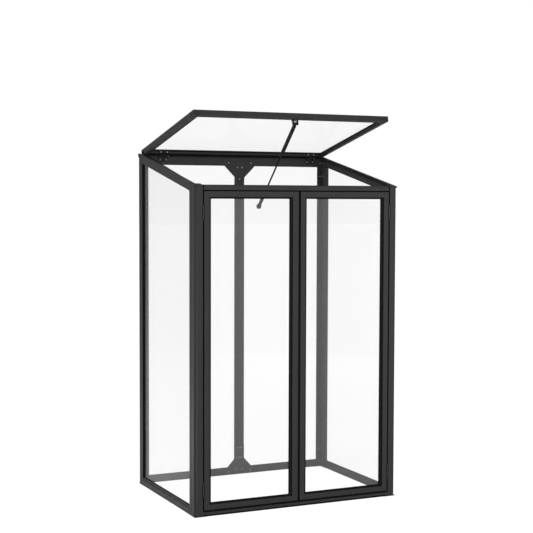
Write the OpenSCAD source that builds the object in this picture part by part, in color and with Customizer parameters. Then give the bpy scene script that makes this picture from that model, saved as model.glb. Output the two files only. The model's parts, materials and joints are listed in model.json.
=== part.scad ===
// Balcony greenhouse: a glazed aluminium cabinet with a sloping roof, two front doors
// and a roof flap that hinges at the back. Millimetres, front toward -Y, up +Z.
// The origin is the middle of the footprint on the ground.

/* [Overall size] */
// outer width over the corner posts
body_w = 1030; // [980:5:1200]
// outer depth over the corner posts
body_d = 753; // [700:1:900]
// height of the roof line at the front
front_h = 1480; // [1300:5:1600]
// rise of the roof line from the front to the back
roof_rise = 161; // [140:1:180]

/* [Frame profiles] */
// front face width of a front post
post_face = 38.5; // [36:0.5:46]
// length of a front post along the side wall
front_leg = 65.8; // [62:0.1:74]
// length of a rear post along the side wall
rear_leg = 57; // [55:0.5:66]
// width of a rear post along the back wall, seen from inside
rear_wing = 48; // [46:0.5:56]
// width of a rear post along the back wall, seen from outside
rear_lip = 34; // [33:0.5:38]
// radius of the hollow round the outer corner of a post
cove_r = 12.5; // [8:0.5:13]
// thickness of the outer box of a wall profile, in front of the glass
box_t = 12; // [11:0.5:12.5]
// wall thickness of the aluminium profiles
wall_t = 2; // [1.6:0.1:2.2]
// how far the inner glazing flange of a post reaches along the side wall
flange_leg = 92; // [84:1:100]
// height of the side sills
side_sill_h = 46; // [44:0.5:52]
// height of the rear sill
rear_sill_h = 36; // [34:0.5:40]
// height of the front sill
front_sill_h = 22; // [20:0.5:23]
// depth of the raking roof rails, square to the slope
rake_h = 38; // [37:0.5:44]
// width of the raised lip that the raking rails and front posts keep outside the flap
roof_lip_w = 15; // [14:0.5:15.5]
// inward reach of the ledge on a raking rail that carries the flap
rake_ledge = 30; // [28:0.5:34]
// height of the front top rail
front_rail_h = 22; // [21:0.5:26]
// depth of the front top rail from front to back
front_rail_d = 60; // [57:0.5:61]
// height of the rear top rail seen from inside
rear_rail_h = 41; // [40:0.5:42]
// top of the rear top rail below the roof line at the back
rear_rail_drop = 11; // [10.5:0.5:12]
// width of the upright in the back wall
mullion_w = 52; // [48:1:60]
// sideways offset of that upright from the middle
mullion_x = 22; // [-40:1:40]
// thickness of the feet under the corners
foot_t = 3; // [2:0.5:4]
// thickness of the front corner caps
cap_t = 7; // [4:0.5:9]

/* [Glazing] */
// glass thickness
glass_t = 4; // [3:0.5:4]
// thickness of each rubber glazing seal
seal_t = 1.2; // [1:0.1:1.5]
// width of the rubber glazing seals
seal_w = 12; // [11.5:0.1:13]

/* [Doors] */
// gap between a door and the post it hangs on
door_side_gap = 7; // [6.5:0.1:9]
// gap between the two doors
door_mid_gap = 8.8; // [8:0.1:11]
// gap above and below the doors
door_end_gap = 5.4; // [4:0.1:8]
// door thickness
door_t = 28; // [26:0.5:29]
// face width of the door stiles and rails
door_face = 25; // [22:0.5:32]
// extra face width of the meeting stile of the left door
meeting_extra = 4.8; // [0:0.1:8]
// width of the glazing step inside the door faces
door_step = 11; // [9:0.5:14]
// how far that step lies behind the door face
step_back = 12; // [10:0.5:13]
// length of a door hinge
door_hinge_l = 66; // [50:1:80]
// middle height of the lower door hinges
door_hinge_low = 121; // [90:1:200]
// middle of the upper door hinges below the roof line at the front
door_hinge_top = 122; // [90:1:200]

/* [Roof flap] */
// distance of the sides of the flap inside the outer faces of the walls
lid_inset = 18; // [18:0.5:21]
// flap thickness
lid_t = 25; // [24:0.5:30]
// distance of the front edge of the closed flap behind the front face
flap_setback = 53; // [50:0.5:54]
// distance from the hinge line to the back edge of the flap
lid_tail = 23; // [20:1:24]
// face width of the side rails of the flap
lid_side = 22; // [20:0.5:30]
// face width of the front rail of the flap
lid_front = 24; // [22:0.5:30]
// face width of the rear rail of the flap
lid_rear = 34; // [31:0.5:60]
// length of the front corner pieces of the flap
lid_corner = 34; // [31:0.5:45]
// angle of the flap above the level in the open pose drawn
lid_open = 12.6; // [0:0.1:20]
// distance of the flap hinges from the sides of the flap, before the offset below
lid_hinge_in = 90; // [80:1:160]
// sideways offset of the flap hinges from the middle
lid_hinge_shift = 15; // [-20:1:20]
// width of a flap hinge
lid_hinge_w = 48; // [40:1:60]

/* [Stay] */
// sideways offset of the stay from the middle
stay_x = 13; // [-20:1:20]
// distance of the stay pin behind the front edge of the flap
stay_setback = 24; // [24:1:40]
// drop of the stay pin below the flap
stay_drop = 18; // [16:0.5:22]
// angle between the stay and the flap in the pose drawn
stay_angle = 31; // [20:1:45]
// outer diameter of the stay tube
tube_d = 18; // [16:0.5:20]
// distance from the pin to the lower end of the tube
tube_l = 181; // [170:1:260]
// diameter of the stay rod
rod_d = 8; // [6:0.5:9]
// distance from the lower end of the tube to the lower pin
rod_l = 370; // [300:1:400]

/* [Hidden] */
$fn = 48;

frame_col = [0.16, 0.165, 0.17];
glass_col = [0.85, 0.9, 0.92, 0.3];
rubber_col = [0.06, 0.06, 0.065];
steel_col = [0.6, 0.61, 0.62];
plastic_col = [0.1, 0.1, 0.105];

eps = 0.5;
// air between pieces of the frame that meet without a joint line
fit_gap = 0.3;
// height of the cutting blocks above what they cut
clear_above = 60;
rear_h = front_h + roof_rise;
slope = atan(roof_rise / body_d);
x_out = body_w / 2;
y_front = -body_d / 2;
y_back = body_d / 2;
function roof_z(y) = front_h + (y - y_front) * tan(slope);

// wall profile: outer box, glazing slot, inner flange
slot_t = glass_t + 2 * seal_t;
flange_x = box_t + slot_t;
wall_d = flange_x + wall_t;
// depth of the seat of the glass behind the edge of the outer box
seat = 12;
// free play between a glass edge and the bottom of its slot
edge_gap = 1.5;

// front posts: the stop lip behind the doors
stop_y = 30;
stop_t = 2;
post_depth = stop_y + stop_t;
stop_reach = 10;
side_groove_w = 3;
side_groove_d = 1;
// chamber of the front box starts beyond the side wall profile
chamber_x = wall_d + wall_t;

// front sill and front top rail
lip_back = 4;
lip_h = 5;
rail_lip = 6;

// depth of the ledges under the flap below the roof line, level with the front top rail
ledge_drop = front_rail_d * sin(slope) - eps;

// doors
door_z0 = front_sill_h + door_end_gap - 0.4;
door_z1 = front_h - front_rail_h - door_end_gap - 0.4;
door_h = door_z1 - door_z0;
door_outer_x = x_out - post_face - door_side_gap;
mid_shift = 0.9;
door_w = door_outer_x + mid_shift - door_mid_gap / 2;
step_t = 2;
door_slot_y = step_back + step_t;
rear_lip_t = 2;
door_edge_in = 2;
seal_show = 1;

// door hinges
knuckle_r = 3;
door_pin_r = 1.5;
pin_play = 0.06;
leaf_t = 1.5;
leaf_depth = 22;
door_axis_x = x_out - post_face - door_side_gap / 2;
door_axis_y = y_front + 1;
door_hinge_z = [door_hinge_low, front_h - door_hinge_top];

// overlap of the wider inner plate of the back upright past its web
mullion_wing = 16;

// rear top rail
rail_z1 = rear_h - rear_rail_drop;
rail_z0 = rail_z1 - rear_rail_h;
rail_slot_z = rail_z0 + 11;
rail_back_z = rail_z1 - 12;

// flap hinge and pose
lid_gap = 2.5;
hinge_r = 5;
hinge_pin_r = 2.5;
hinge_leaf_t = 2;
hinge_drop = hinge_r + hinge_leaf_t;
y_in = y_back - wall_d;
pivot_y = y_in - hinge_r;
pivot_z = roof_z(pivot_y) + (lid_gap - hinge_drop) / cos(slope);
lid_under_t = 17;
lid_w = body_w - 2 * lid_inset;
lid_hinge_x = lid_w / 2 - lid_hinge_in;
// the closed flap rests on the seals of the front rail, a little steeper than the roof line
seat_seal_t = 2;
seat_seal_w = 5;
seat_y = y_front + front_rail_d - seat_seal_w / 2;
seat_run = [pivot_y - seat_y, pivot_z - front_h - lid_gap];
closed_slope = atan(seat_run[1] / seat_run[0]) + asin(hinge_drop / norm(seat_run));
lid_reach = (pivot_y - y_front - flap_setback - hinge_drop * sin(closed_slope)) / cos(closed_slope);
function closed_z(y) = pivot_z + hinge_drop / cos(closed_slope) - (pivot_y - y) * tan(closed_slope);
lid_slot_k = lid_under_t;
lid_slot_t = glass_t + 2 * seal_t;
lid_edge = 5;
lid_lip = 14;

// stay
stay_pin_r = 3;
stay_ear_gap = 20;
foot_ear_gap = 13;
stay_ear_t = 2.5;
stay_ear_r = 8;
stay_play = 0.4;
bush_l = 15;
rod_hidden = 20;
piston_r = tube_d / 2 - 2.7;
socket_r = 8.5;
socket_l = 72;
eye_l = 14;

// gussets, brackets and their screws
plate_t = 2;
bracket_leg = 24;
bracket_h = 88;
bracket_low = 63;
bracket_top = rail_z0 - 16.5;
screw_r = 1.9;
screw_hole_r = 2;
screw_head_r = 3.6;
screw_head_h = 1.8;
screw_l = 4;
screw_off = 12;
screw_rise = 34;
up_half = 90;
up_neck = 15;
up_tail = 68;
up_cover = 21;
low_half = 72;
low_rise = 50;
low_neck = 66;

module mirror_x() {
    children();
    mirror([1, 0, 0]) children();
}

// A section drawn with its outer corner at the origin, x and y running inward
module at_front_corner() {
    translate([-x_out, y_front, 0]) children();
}

module at_rear_corner() {
    translate([-x_out, y_back, 0]) mirror([0, 1, 0]) children();
}

// Everything below the roof plane lowered by a given drop
module under_roof(drop, x0, x1, y0, y1) {
    rotate([90, 0, 90])
    translate([0, 0, x0])
    linear_extrude(x1 - x0)
    polygon([[y0, -eps], [y1, -eps], [y1, roof_z(y1) - drop], [y0, roof_z(y0) - drop]]);
}

// Room between the lips that the closed flap and its play take
module flap_space() {
    y0 = y_front + flap_setback - 4;
    half = x_out - roof_lip_w;
    top = rear_h + clear_above;
    rotate([90, 0, 90])
    translate([0, 0, -half])
    linear_extrude(2 * half)
    polygon([[y0, closed_z(y0) - lid_gap], [y_back + eps, closed_z(y_back + eps) - lid_gap],
        [y_back + eps, top], [y0, top]]);
}

module side_wing_2d(leg) {
    square([box_t, leg]);
    square([wall_d, leg - seat + edge_gap]);
    translate([flange_x, 0]) square([wall_t, leg]);
}

module side_chamber_2d(leg) {
    translate([wall_t, cove_r + wall_t])
    square([wall_d - 2 * wall_t, leg - seat + edge_gap - cove_r - 2 * wall_t]);
}

module side_groove_2d(leg) {
    translate([-eps, leg * 0.6]) square([side_groove_d + eps, side_groove_w]);
}

module front_post_2d() {
    difference() {
        union() {
            square([post_face, post_depth]);
            side_wing_2d(front_leg);
            translate([0, stop_y]) square([post_face + stop_reach, stop_t]);
        }
        circle(cove_r);
        side_chamber_2d(front_leg);
        side_groove_2d(front_leg);
        translate([chamber_x, wall_t])
        square([post_face - wall_t - chamber_x, stop_y - wall_t]);
    }
}

module rear_post_2d() {
    difference() {
        union() {
            side_wing_2d(rear_leg);
            square([rear_lip, box_t]);
            square([rear_lip - seat + edge_gap, wall_d]);
            translate([0, flange_x]) square([rear_wing, wall_t]);
        }
        circle(cove_r);
        side_chamber_2d(rear_leg);
        side_groove_2d(rear_leg);
    }
}

module long_flange(leg, z0, z1) {
    translate([flange_x, leg, z0]) cube([wall_t, flange_leg - leg, z1 - z0]);
}

module front_post_left() {
    difference() {
        intersection() {
            at_front_corner() {
                translate([0, 0, foot_t]) linear_extrude(front_h) front_post_2d();
            }
            under_roof(cap_t, -x_out - eps, 0, y_front - eps, 0);
        }
        bracket_holes();
        flap_space();
        post_lip_ends();
    }
    at_front_corner()
    long_flange(front_leg, side_sill_h, roof_z(y_front + front_leg) - rake_h / cos(slope) - 1);
}

// The stop lip of a front post ends at the sill and at the top rail
module post_lip_ends() {
    z1 = front_h - front_rail_h - fit_gap;
    at_front_corner() {
        translate([post_face, stop_y - eps, 0])
        cube([stop_reach + eps, stop_t + 2 * eps, front_sill_h + fit_gap]);
        translate([post_face, stop_y - eps, z1])
        cube([stop_reach + eps, stop_t + 2 * eps, front_rail_h + clear_above]);
    }
}

module rear_post_left() {
    difference() {
        intersection() {
            at_rear_corner() translate([0, 0, foot_t]) linear_extrude(rear_h) rear_post_2d();
            under_roof(rear_cap_h, -x_out - eps, 0, 0, y_back + eps);
        }
        at_rear_corner() translate([box_t, -eps, rail_z0]) cube([rear_wing, wall_d + eps + fit_gap, rear_h]);
        bracket_holes();
    }
    at_rear_corner()
    long_flange(rear_leg, side_sill_h, roof_z(y_back - flange_leg) - rake_h / cos(slope) - 1);
}

rear_cap_h = 17;

module front_left_post() {
    color(frame_col) front_post_left();
}

module front_right_post() {
    color(frame_col) mirror([1, 0, 0]) front_post_left();
}

module rear_left_post() {
    color(frame_col) rear_post_left();
}

module rear_right_post() {
    color(frame_col) mirror([1, 0, 0]) rear_post_left();
}

module front_sill() {
    len = body_w - 2 * post_face;
    color(frame_col)
    translate([len / 2, y_front, 0])
    rotate([90, 0, -90])
    linear_extrude(len)
    mirror([1, 0])
    difference() {
        union() {
            translate([0, foot_t + lip_h]) square([post_depth, front_sill_h - foot_t - lip_h]);
            translate([lip_back, foot_t]) square([post_depth - lip_back, lip_h + eps]);
        }
        translate([lip_back + wall_t, foot_t + wall_t])
        square([stop_y - lip_back - 2 * wall_t, front_sill_h - foot_t - 2 * wall_t]);
    }
    color(frame_col) stop_lip(front_sill_h - eps, stop_reach + eps);
}

// Upstand or drop lip that the doors close against, between those of the posts
module stop_lip(z0, h) {
    half = x_out - post_face - stop_reach - fit_gap;
    translate([-half, y_front + stop_y, z0]) cube([2 * half, stop_t, h]);
}

module wall_sill_2d(h, groove) {
    difference() {
        union() {
            translate([0, foot_t]) square([box_t, h - foot_t]);
            translate([0, foot_t]) square([wall_d, h - foot_t - seat + edge_gap]);
            translate([flange_x, foot_t]) square([wall_t, h - foot_t]);
        }
        translate([wall_t, foot_t + wall_t])
        square([wall_d - 2 * wall_t, h - foot_t - seat + edge_gap - 2 * wall_t]);
        translate([-eps, h - 18]) square([groove + eps, side_groove_w]);
    }
}

module side_sill_left() {
    len = body_d - front_leg - rear_leg;
    translate([-x_out, y_back - rear_leg, 0])
    rotate([90, 0, 0])
    linear_extrude(len)
    wall_sill_2d(side_sill_h, side_groove_d);
}

module left_sill() {
    color(frame_col) side_sill_left();
}

module right_sill() {
    color(frame_col) mirror([1, 0, 0]) side_sill_left();
}

module rear_sill() {
    len = body_w - 2 * rear_wing;
    // the outer lip carries on to the narrower outer wings of the posts
    color(frame_col)
    difference() {
        union() {
            translate([-len / 2, y_back, 0])
            rotate([90, 0, 90])
            linear_extrude(len)
            mirror([1, 0])
            wall_sill_2d(rear_sill_h, 0);
            translate([-x_out + rear_lip, y_back - box_t, foot_t])
            cube([body_w - 2 * rear_lip, box_t, rear_sill_h - foot_t]);
        }
        lower_gusset_holes();
        translate([-x_out + rear_lip - eps, y_back - box_t + wall_t, foot_t + wall_t])
        cube([body_w - 2 * rear_lip + 2 * eps, box_t - 2 * wall_t, rear_sill_h - foot_t - seat - wall_t]);
    }
}

// Front top rail: face, set-back lip, flat shelf under the front of the flap, door stop
module front_top_rail() {
    len = body_w - 2 * post_face;
    shelf = body_w - 2 * (wall_d + fit_gap);
    z0 = front_h - front_rail_h;
    color(frame_col) {
        translate([-len / 2, y_front, 0])
        rotate([90, 0, 90])
        linear_extrude(len)
        difference() {
            union() {
                translate([0, z0]) square([post_depth, front_rail_h - rail_lip]);
                translate([lip_back, z0]) square([post_depth - lip_back, front_rail_h]);
            }
            translate([lip_back + wall_t, z0 + wall_t])
            square([stop_y - lip_back - 2 * wall_t, front_rail_h - 2 * wall_t]);
        }
        translate([-shelf / 2, y_front + post_depth + fit_gap, front_h - wall_t])
        cube([shelf, front_rail_d - post_depth - fit_gap, wall_t]);
        translate([-len / 2, y_front + post_depth - eps, front_h - wall_t])
        cube([len, fit_gap + 2 * eps, wall_t]);
        stop_lip(z0 - stop_reach, stop_reach + eps);
    }
}

module rear_top_rail() {
    reach = x_out - box_t - fit_gap;
    color(frame_col)
    difference() {
        translate([-reach, 0, 0])
        rotate([90, 0, 90])
        linear_extrude(2 * reach)
        difference() {
            polygon([[y_back, rail_z0], [y_back, rail_back_z], [y_in + wall_t, rail_z1],
                [y_in, rail_z1], [y_in, rail_z0]]);
            translate([y_in + wall_t, rail_z0 - eps]) square([slot_t, rail_slot_z - rail_z0 + eps]);
            polygon([[y_back - wall_t, rail_slot_z + wall_t], [y_back - wall_t, rail_back_z - wall_t],
                [y_in + wall_t, rail_z1 - 2 * wall_t], [y_in + wall_t, rail_slot_z + wall_t]]);
        }
        upper_gusset_holes();
        bracket_holes();
        mirror([1, 0, 0]) bracket_holes();
        rail_hinge_screw_places() screw_hole();
    }
}

// Raking rail of the left wall, measured down square to the slope from the roof line
module rake_2d() {
    low = -rake_h + seat - edge_gap;
    body = -ledge_drop - low;
    difference() {
        union() {
            translate([0, -rake_h]) square([box_t, rake_h]);
            translate([0, -ledge_drop]) square([roof_lip_w, ledge_drop]);
            translate([0, low]) square([wall_d, body]);
            translate([flange_x, -rake_h]) square([wall_t, rake_h - ledge_drop]);
            translate([0, -ledge_drop - wall_t]) square([rake_ledge, wall_t]);
        }
        translate([wall_t, low + wall_t]) square([wall_d - 2 * wall_t, body - 2 * wall_t]);
        translate([wall_t, -ledge_drop]) square([roof_lip_w - 2 * wall_t, ledge_drop - wall_t]);
    }
}

module rake_left() {
    intersection() {
        translate([-x_out, y_front, front_h])
        rotate([90 + slope, 0, 0])
        translate([0, 0, -body_d * 1.2])
        linear_extrude(body_d * 1.3)
        rake_2d();
        translate([-x_out - eps, y_front + front_leg, 0])
        cube([x_out, body_d - front_leg - rear_leg, rear_h + clear_above]);
    }
}

module left_raking_rail() {
    color(frame_col) rake_left();
}

module right_raking_rail() {
    color(frame_col) mirror([1, 0, 0]) rake_left();
}

// Upright in the back wall, widest inside, grooved down its middle
module rear_mullion() {
    half = mullion_w / 2;
    web = half - mullion_wing;
    lip = web + seat - edge_gap;
    color(frame_col)
    difference() {
        translate([mullion_x, y_back, rear_sill_h])
        mirror([0, 1, 0])
        linear_extrude(rail_z0 - rear_sill_h)
        difference() {
            union() {
                translate([-web, 0]) square([2 * web, wall_d]);
                translate([-lip, 0]) square([2 * lip, box_t]);
                translate([-half, flange_x]) square([mullion_w, wall_t]);
            }
            translate([-web + wall_t, wall_t]) square([2 * web - 2 * wall_t, wall_d - 2 * wall_t]);
            translate([web + wall_t, wall_t]) square([lip - web - 2 * wall_t, box_t - 2 * wall_t]);
            translate([-lip + wall_t, wall_t]) square([lip - web - 2 * wall_t, box_t - 2 * wall_t]);
            translate([-side_groove_w / 2, wall_d - side_groove_d])
            square([side_groove_w, side_groove_d + eps]);
        }
        upper_gusset_holes();
        lower_gusset_holes();
    }
}

up_out = up_half - 28;
up_mid = mullion_w / 4;
up_screws = [[-up_out, rail_z0 + 13], [up_out, rail_z0 + 13],
    [-up_mid, rail_z0 - 10], [up_mid, rail_z0 - 10], [0, rail_z0 - up_tail]];
low_out = low_half - 10;
low_mid = mullion_w * 0.31;
low_in = mullion_w / 6;
low_tip = rear_sill_h - 2 + low_rise;
low_screws = [[-low_out, foot_t + 13.5], [low_out, foot_t + 13.5],
    [-low_mid, rear_sill_h - 9], [low_mid, rear_sill_h - 9],
    [-low_in, low_tip + 4], [low_in, low_tip + 4],
    [-low_in, low_tip + low_neck - 11.5], [low_in, low_tip + low_neck - 11.5]];

// Plates screwed flat on the inner faces of the upright and the rails
module upper_gusset_2d() {
    half = mullion_w / 2;
    z_toe = rail_z0 + 3;
    z_tip = z_toe - (up_half - half);
    polygon([[-up_half, rail_z0 + up_cover], [-up_half, z_toe], [-half, z_tip], [-half, z_tip - up_neck],
        [half, z_tip - up_neck], [half, z_tip], [up_half, z_toe], [up_half, rail_z0 + up_cover]]);
}

module lower_gusset_2d() {
    half = mullion_w / 2;
    z_toe = low_tip - low_rise;
    polygon([[-low_half, foot_t + 2], [-low_half, z_toe], [-half, low_tip], [-half, low_tip + low_neck],
        [half, low_tip + low_neck], [half, low_tip], [low_half, z_toe], [low_half, foot_t + 2]]);
}

module on_back_plane() {
    translate([mullion_x, y_in, 0]) rotate([90, 0, 0]) children();
}

module screw_row(list) {
    for (p = list) translate([p[0], p[1], 0]) children();
}

module screw_hole() {
    translate([0, 0, -screw_l - eps]) cylinder(h = screw_l + plate_t + 2 * eps, r = screw_hole_r, $fn = 24);
}

module upper_gusset_holes() {
    on_back_plane() screw_row(up_screws) screw_hole();
}

module lower_gusset_holes() {
    on_back_plane() screw_row(low_screws) screw_hole();
}

module upper_gusset() {
    color(frame_col)
    difference() {
        on_back_plane() linear_extrude(plate_t) upper_gusset_2d();
        upper_gusset_holes();
    }
}

module lower_gusset() {
    color(frame_col)
    difference() {
        on_back_plane() linear_extrude(plate_t) lower_gusset_2d();
        lower_gusset_holes();
    }
}

// Pan-head screw standing on the plane z = 0 with its head up
module pan_screw(plate) {
    translate([0, 0, plate]) cylinder(h = screw_head_h, r = screw_head_r, $fn = 24);
    translate([0, 0, -screw_l + plate]) cylinder(h = screw_l, r = screw_r, $fn = 24);
}

module frame_screws() {
    color(steel_col) {
        on_back_plane() screw_row(up_screws) pan_screw(plate_t);
        on_back_plane() screw_row(low_screws) pan_screw(plate_t);
        mirror_x() bracket_screw_places() pan_screw(plate_t);
        rail_hinge_screw_places() pan_screw(hinge_leaf_t);
    }
}

// Inner corner angles: the corner line of each is given with the two leg directions
module corner_angle(y_c, y_dir, z_mid) {
    x_c = -x_out + wall_d;
    translate([x_c, y_c, z_mid - bracket_h / 2]) {
        mirror([0, y_dir < 0 ? 1 : 0, 0]) {
            cube([bracket_leg, plate_t, bracket_h]);
            cube([plate_t, bracket_leg, bracket_h]);
        }
    }
}

angle_spots = [[y_front + post_depth, 1, bracket_low], [y_front + post_depth, 1, front_h - 90],
    [y_in, -1, bracket_low], [y_in, -1, bracket_top]];

module bracket_screw_places() {
    x_c = -x_out + wall_d;
    for (s = angle_spots) {
        for (dz = [-screw_rise, screw_rise]) {
            translate([x_c + screw_off, s[0], s[2] + dz]) rotate([s[1] > 0 ? -90 : 90, 0, 0]) children();
            translate([x_c, s[0] + s[1] * (screw_off + 4), s[2] + dz]) rotate([0, 90, 0]) children();
        }
    }
}

module bracket_holes() {
    bracket_screw_places() screw_hole();
}

module corner_brackets() {
    color(frame_col)
    mirror_x()
    difference() {
        for (s = angle_spots) corner_angle(s[0], s[1], s[2]);
        bracket_holes();
    }
}

// Side pane outline in the Y-Z plane, inset from the glass edge
function side_outline(inset) = let (
    y0 = y_front + front_leg - seat + 2 * edge_gap + inset,
    y1 = y_back - rear_leg + seat - 2 * edge_gap - inset,
    z0 = side_sill_h - seat + 2 * edge_gap + inset,
    drop = (rake_h - seat + 2 * edge_gap + inset) / cos(slope))
    [[y0, z0], [y1, z0], [y1, roof_z(y1) - drop], [y0, roof_z(y0) - drop]];

module side_sheet(x0, t, inset) {
    translate([x0, 0, 0]) rotate([90, 0, 90]) linear_extrude(t) polygon(side_outline(inset));
}

module side_glass_left() {
    side_sheet(-x_out + box_t + seal_t, glass_t, 0);
}

module left_side_pane() {
    color(glass_col) side_glass_left();
}

module right_side_pane() {
    color(glass_col) mirror([1, 0, 0]) side_glass_left();
}

module side_ring(x0) {
    difference() {
        side_sheet(x0, seal_t, 0);
        side_sheet(x0 - eps, seal_t + 2 * eps, seal_w);
    }
}

module side_pane_seals() {
    color(rubber_col)
    mirror_x() {
        side_ring(-x_out + box_t);
        side_ring(-x_out + box_t + seal_t + glass_t);
    }
}

// Rear panes stand between the rear posts and the upright
rear_pane_z0 = rear_sill_h - seat + 2 * edge_gap;
rear_pane_z1 = rail_slot_z - edge_gap;
rear_pane_out = x_out - rear_lip + seat - 2 * edge_gap;
rear_pane_in = mullion_w / 2 - mullion_wing + edge_gap;

module rear_sheet(x0, x1, y0, t, inset) {
    translate([x0 + inset, y0, rear_pane_z0 + inset])
    cube([x1 - x0 - 2 * inset, t, rear_pane_z1 - rear_pane_z0 - 2 * inset]);
}

rear_glass_y = y_back - box_t - seal_t - glass_t;

module rear_left_pane() {
    color(glass_col) rear_sheet(-rear_pane_out, mullion_x - rear_pane_in, rear_glass_y, glass_t, 0);
}

module rear_right_pane() {
    color(glass_col) rear_sheet(mullion_x + rear_pane_in, rear_pane_out, rear_glass_y, glass_t, 0);
}

module rear_ring(x0, x1, y0) {
    difference() {
        rear_sheet(x0, x1, y0, seal_t, 0);
        rear_sheet(x0, x1, y0 - eps, seal_t + 2 * eps, seal_w);
    }
}

module rear_pane_seals() {
    color(rubber_col)
    for (y = [rear_glass_y - seal_t, rear_glass_y + glass_t]) {
        rear_ring(-rear_pane_out, mullion_x - rear_pane_in, y);
        rear_ring(mullion_x + rear_pane_in, rear_pane_out, y);
    }
}

// Square-cornered feet under the posts, with longer legs under the side sills
foot_w = 30;
foot_front = 58;
foot_side_front = 118;
foot_side_rear = 71;

module corner_feet() {
    color(plastic_col)
    mirror_x() {
        at_front_corner() {
            cube([foot_front, foot_w, foot_t]);
            cube([wall_d, foot_side_front, foot_t]);
        }
        at_rear_corner() {
            cube([foot_front, wall_d, foot_t]);
            cube([wall_d, foot_side_rear, foot_t]);
        }
    }
}

// Square-cornered caps that close the tops of the posts in the roof plane
module roof_slice(drop0, drop1) {
    difference() {
        under_roof(drop0, -x_out - eps, x_out + eps, y_front - eps, y_back + eps);
        under_roof(drop1, -x_out - 2 * eps, x_out + 2 * eps, y_front - 2 * eps, y_back + 2 * eps);
    }
}

module front_corner_caps() {
    color(plastic_col)
    difference() {
        intersection() {
            roof_slice(0, cap_t);
            mirror_x() at_front_corner() {
                cube([post_face, post_depth, rear_h]);
                cube([roof_lip_w, front_leg, rear_h]);
            }
        }
        flap_space();
    }
}

module rear_corner_caps() {
    color(plastic_col)
    intersection() {
        roof_slice(0, rear_cap_h);
        mirror_x() at_rear_corner() cube([box_t, rear_leg, rear_h + eps]);
    }
}

// Small rubber blocks on the front sill that the doors run up to
buffer_w = 12;
buffer_y = 8;
buffer_l = 12;
buffer_left = 86;
buffer_right = 103;
buffer_x = [-x_out + buffer_left, -9, 19, x_out - buffer_right];

module door_buffers() {
    color(rubber_col)
    for (x = buffer_x) {
        translate([x - buffer_w / 2, y_front + buffer_y, front_sill_h])
        cube([buffer_w, buffer_l, door_end_gap - 0.8]);
    }
}

// Rubber strips on the stop lips behind the doors and on the ledges under the flap
stop_seal_t = 1.4;
stop_seal_w = 7;

module door_stop_seal() {
    half = x_out - post_face - 1;
    z0 = front_sill_h + 1;
    z1 = front_h - front_rail_h - 1;
    color(rubber_col)
    difference() {
        translate([-half, y_front + stop_y - stop_seal_t, z0]) cube([2 * half, stop_seal_t, z1 - z0]);
        translate([-half + stop_seal_w, y_front + stop_y - stop_seal_t - eps, z0 + stop_seal_w])
        cube([2 * half - 2 * stop_seal_w, stop_seal_t + 2 * eps, z1 - z0 - 2 * stop_seal_w]);
    }
}

// Rubber under the closed flap: a flat strip on the front rail and a tapering one on each ledge
module flap_seat_seal() {
    y0 = y_front + front_leg + 1;
    y1 = y_back - rear_leg - 1;
    ledge_z = ledge_drop / cos(slope);
    color(rubber_col) {
        translate([-x_out + rake_ledge, seat_y - seat_seal_w / 2, front_h])
        cube([body_w - 2 * rake_ledge, seat_seal_w - 0.5, seat_seal_t]);
        mirror_x()
        translate([-x_out + rake_ledge - seat_seal_w - 1, 0, 0])
        rotate([90, 0, 90])
        linear_extrude(seat_seal_w)
        polygon([[y0, roof_z(y0) - ledge_z], [y1, roof_z(y1) - ledge_z],
            [y1, closed_z(y1) - 0.5], [y0, closed_z(y0) - 0.5]]);
    }
}

// Door hinges: post leaf with the pin and the middle knuckle, door leaf with the outer knuckles
knuckle_gap = 0.4;

module door_knuckle(z0, z1, bore) {
    translate([0, 0, z0])
    difference() {
        cylinder(h = z1 - z0, r = knuckle_r);
        if (bore > 0) translate([0, 0, -eps]) cylinder(h = z1 - z0 + 2 * eps, r = bore);
    }
}

module post_hinge_leaf() {
    third = door_hinge_l / 3;
    half_gap = door_side_gap / 2;
    door_knuckle(-third / 2, third / 2, 0);
    translate([0, 0, -door_hinge_l / 2]) cylinder(h = door_hinge_l, r = door_pin_r);
    translate([-half_gap, 0, -door_hinge_l / 2]) cube([leaf_t - 1, leaf_depth, door_hinge_l]);
    translate([-half_gap, 0, -third / 2]) cube([leaf_t, knuckle_r, third]);
}

module door_hinge_leaf() {
    third = door_hinge_l / 3;
    half_gap = door_side_gap / 2;
    for (s = [-1, 1]) {
        z0 = s < 0 ? -door_hinge_l / 2 : third / 2 + knuckle_gap;
        z1 = z0 + third - knuckle_gap;
        door_knuckle(z0, z1, door_pin_r + pin_play);
        translate([half_gap - leaf_t, 0, z0]) cube([leaf_t, knuckle_r, z1 - z0]);
    }
    translate([half_gap - leaf_t + 0.8, door_pin_r + 0.8, -door_hinge_l / 2])
    cube([leaf_t - 0.8, leaf_depth - door_pin_r, door_hinge_l]);
}

module at_door_hinges_left() {
    for (z = door_hinge_z) translate([-door_axis_x, door_axis_y, z]) children();
}

module post_hinge_leaves() {
    color(frame_col) mirror_x() at_door_hinges_left() post_hinge_leaf();
}

// A door is cut from one glazed ring; insets are measured from its outer edges
module door_void(w, left, right, y0, y1, inset) {
    translate([left + inset, y0, door_face + inset])
    cube([w - left - right - 2 * inset, y1 - y0, door_h - 2 * door_face - 2 * inset]);
}

module door_ring(w, left, right) {
    difference() {
        cube([w, door_t, door_h]);
        door_void(w, left, right, -eps, step_back, 0);
        door_void(w, left, right, -eps, door_t + eps, door_step);
        door_void(w, left, right, door_slot_y, door_slot_y + slot_t, edge_gap);
        door_void(w, left, right, door_slot_y + slot_t - 0.001, door_t + eps, door_step - 2);
        door_void(w, left, right, door_slot_y + slot_t + rear_lip_t, door_t + eps, 0);
    }
}

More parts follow.
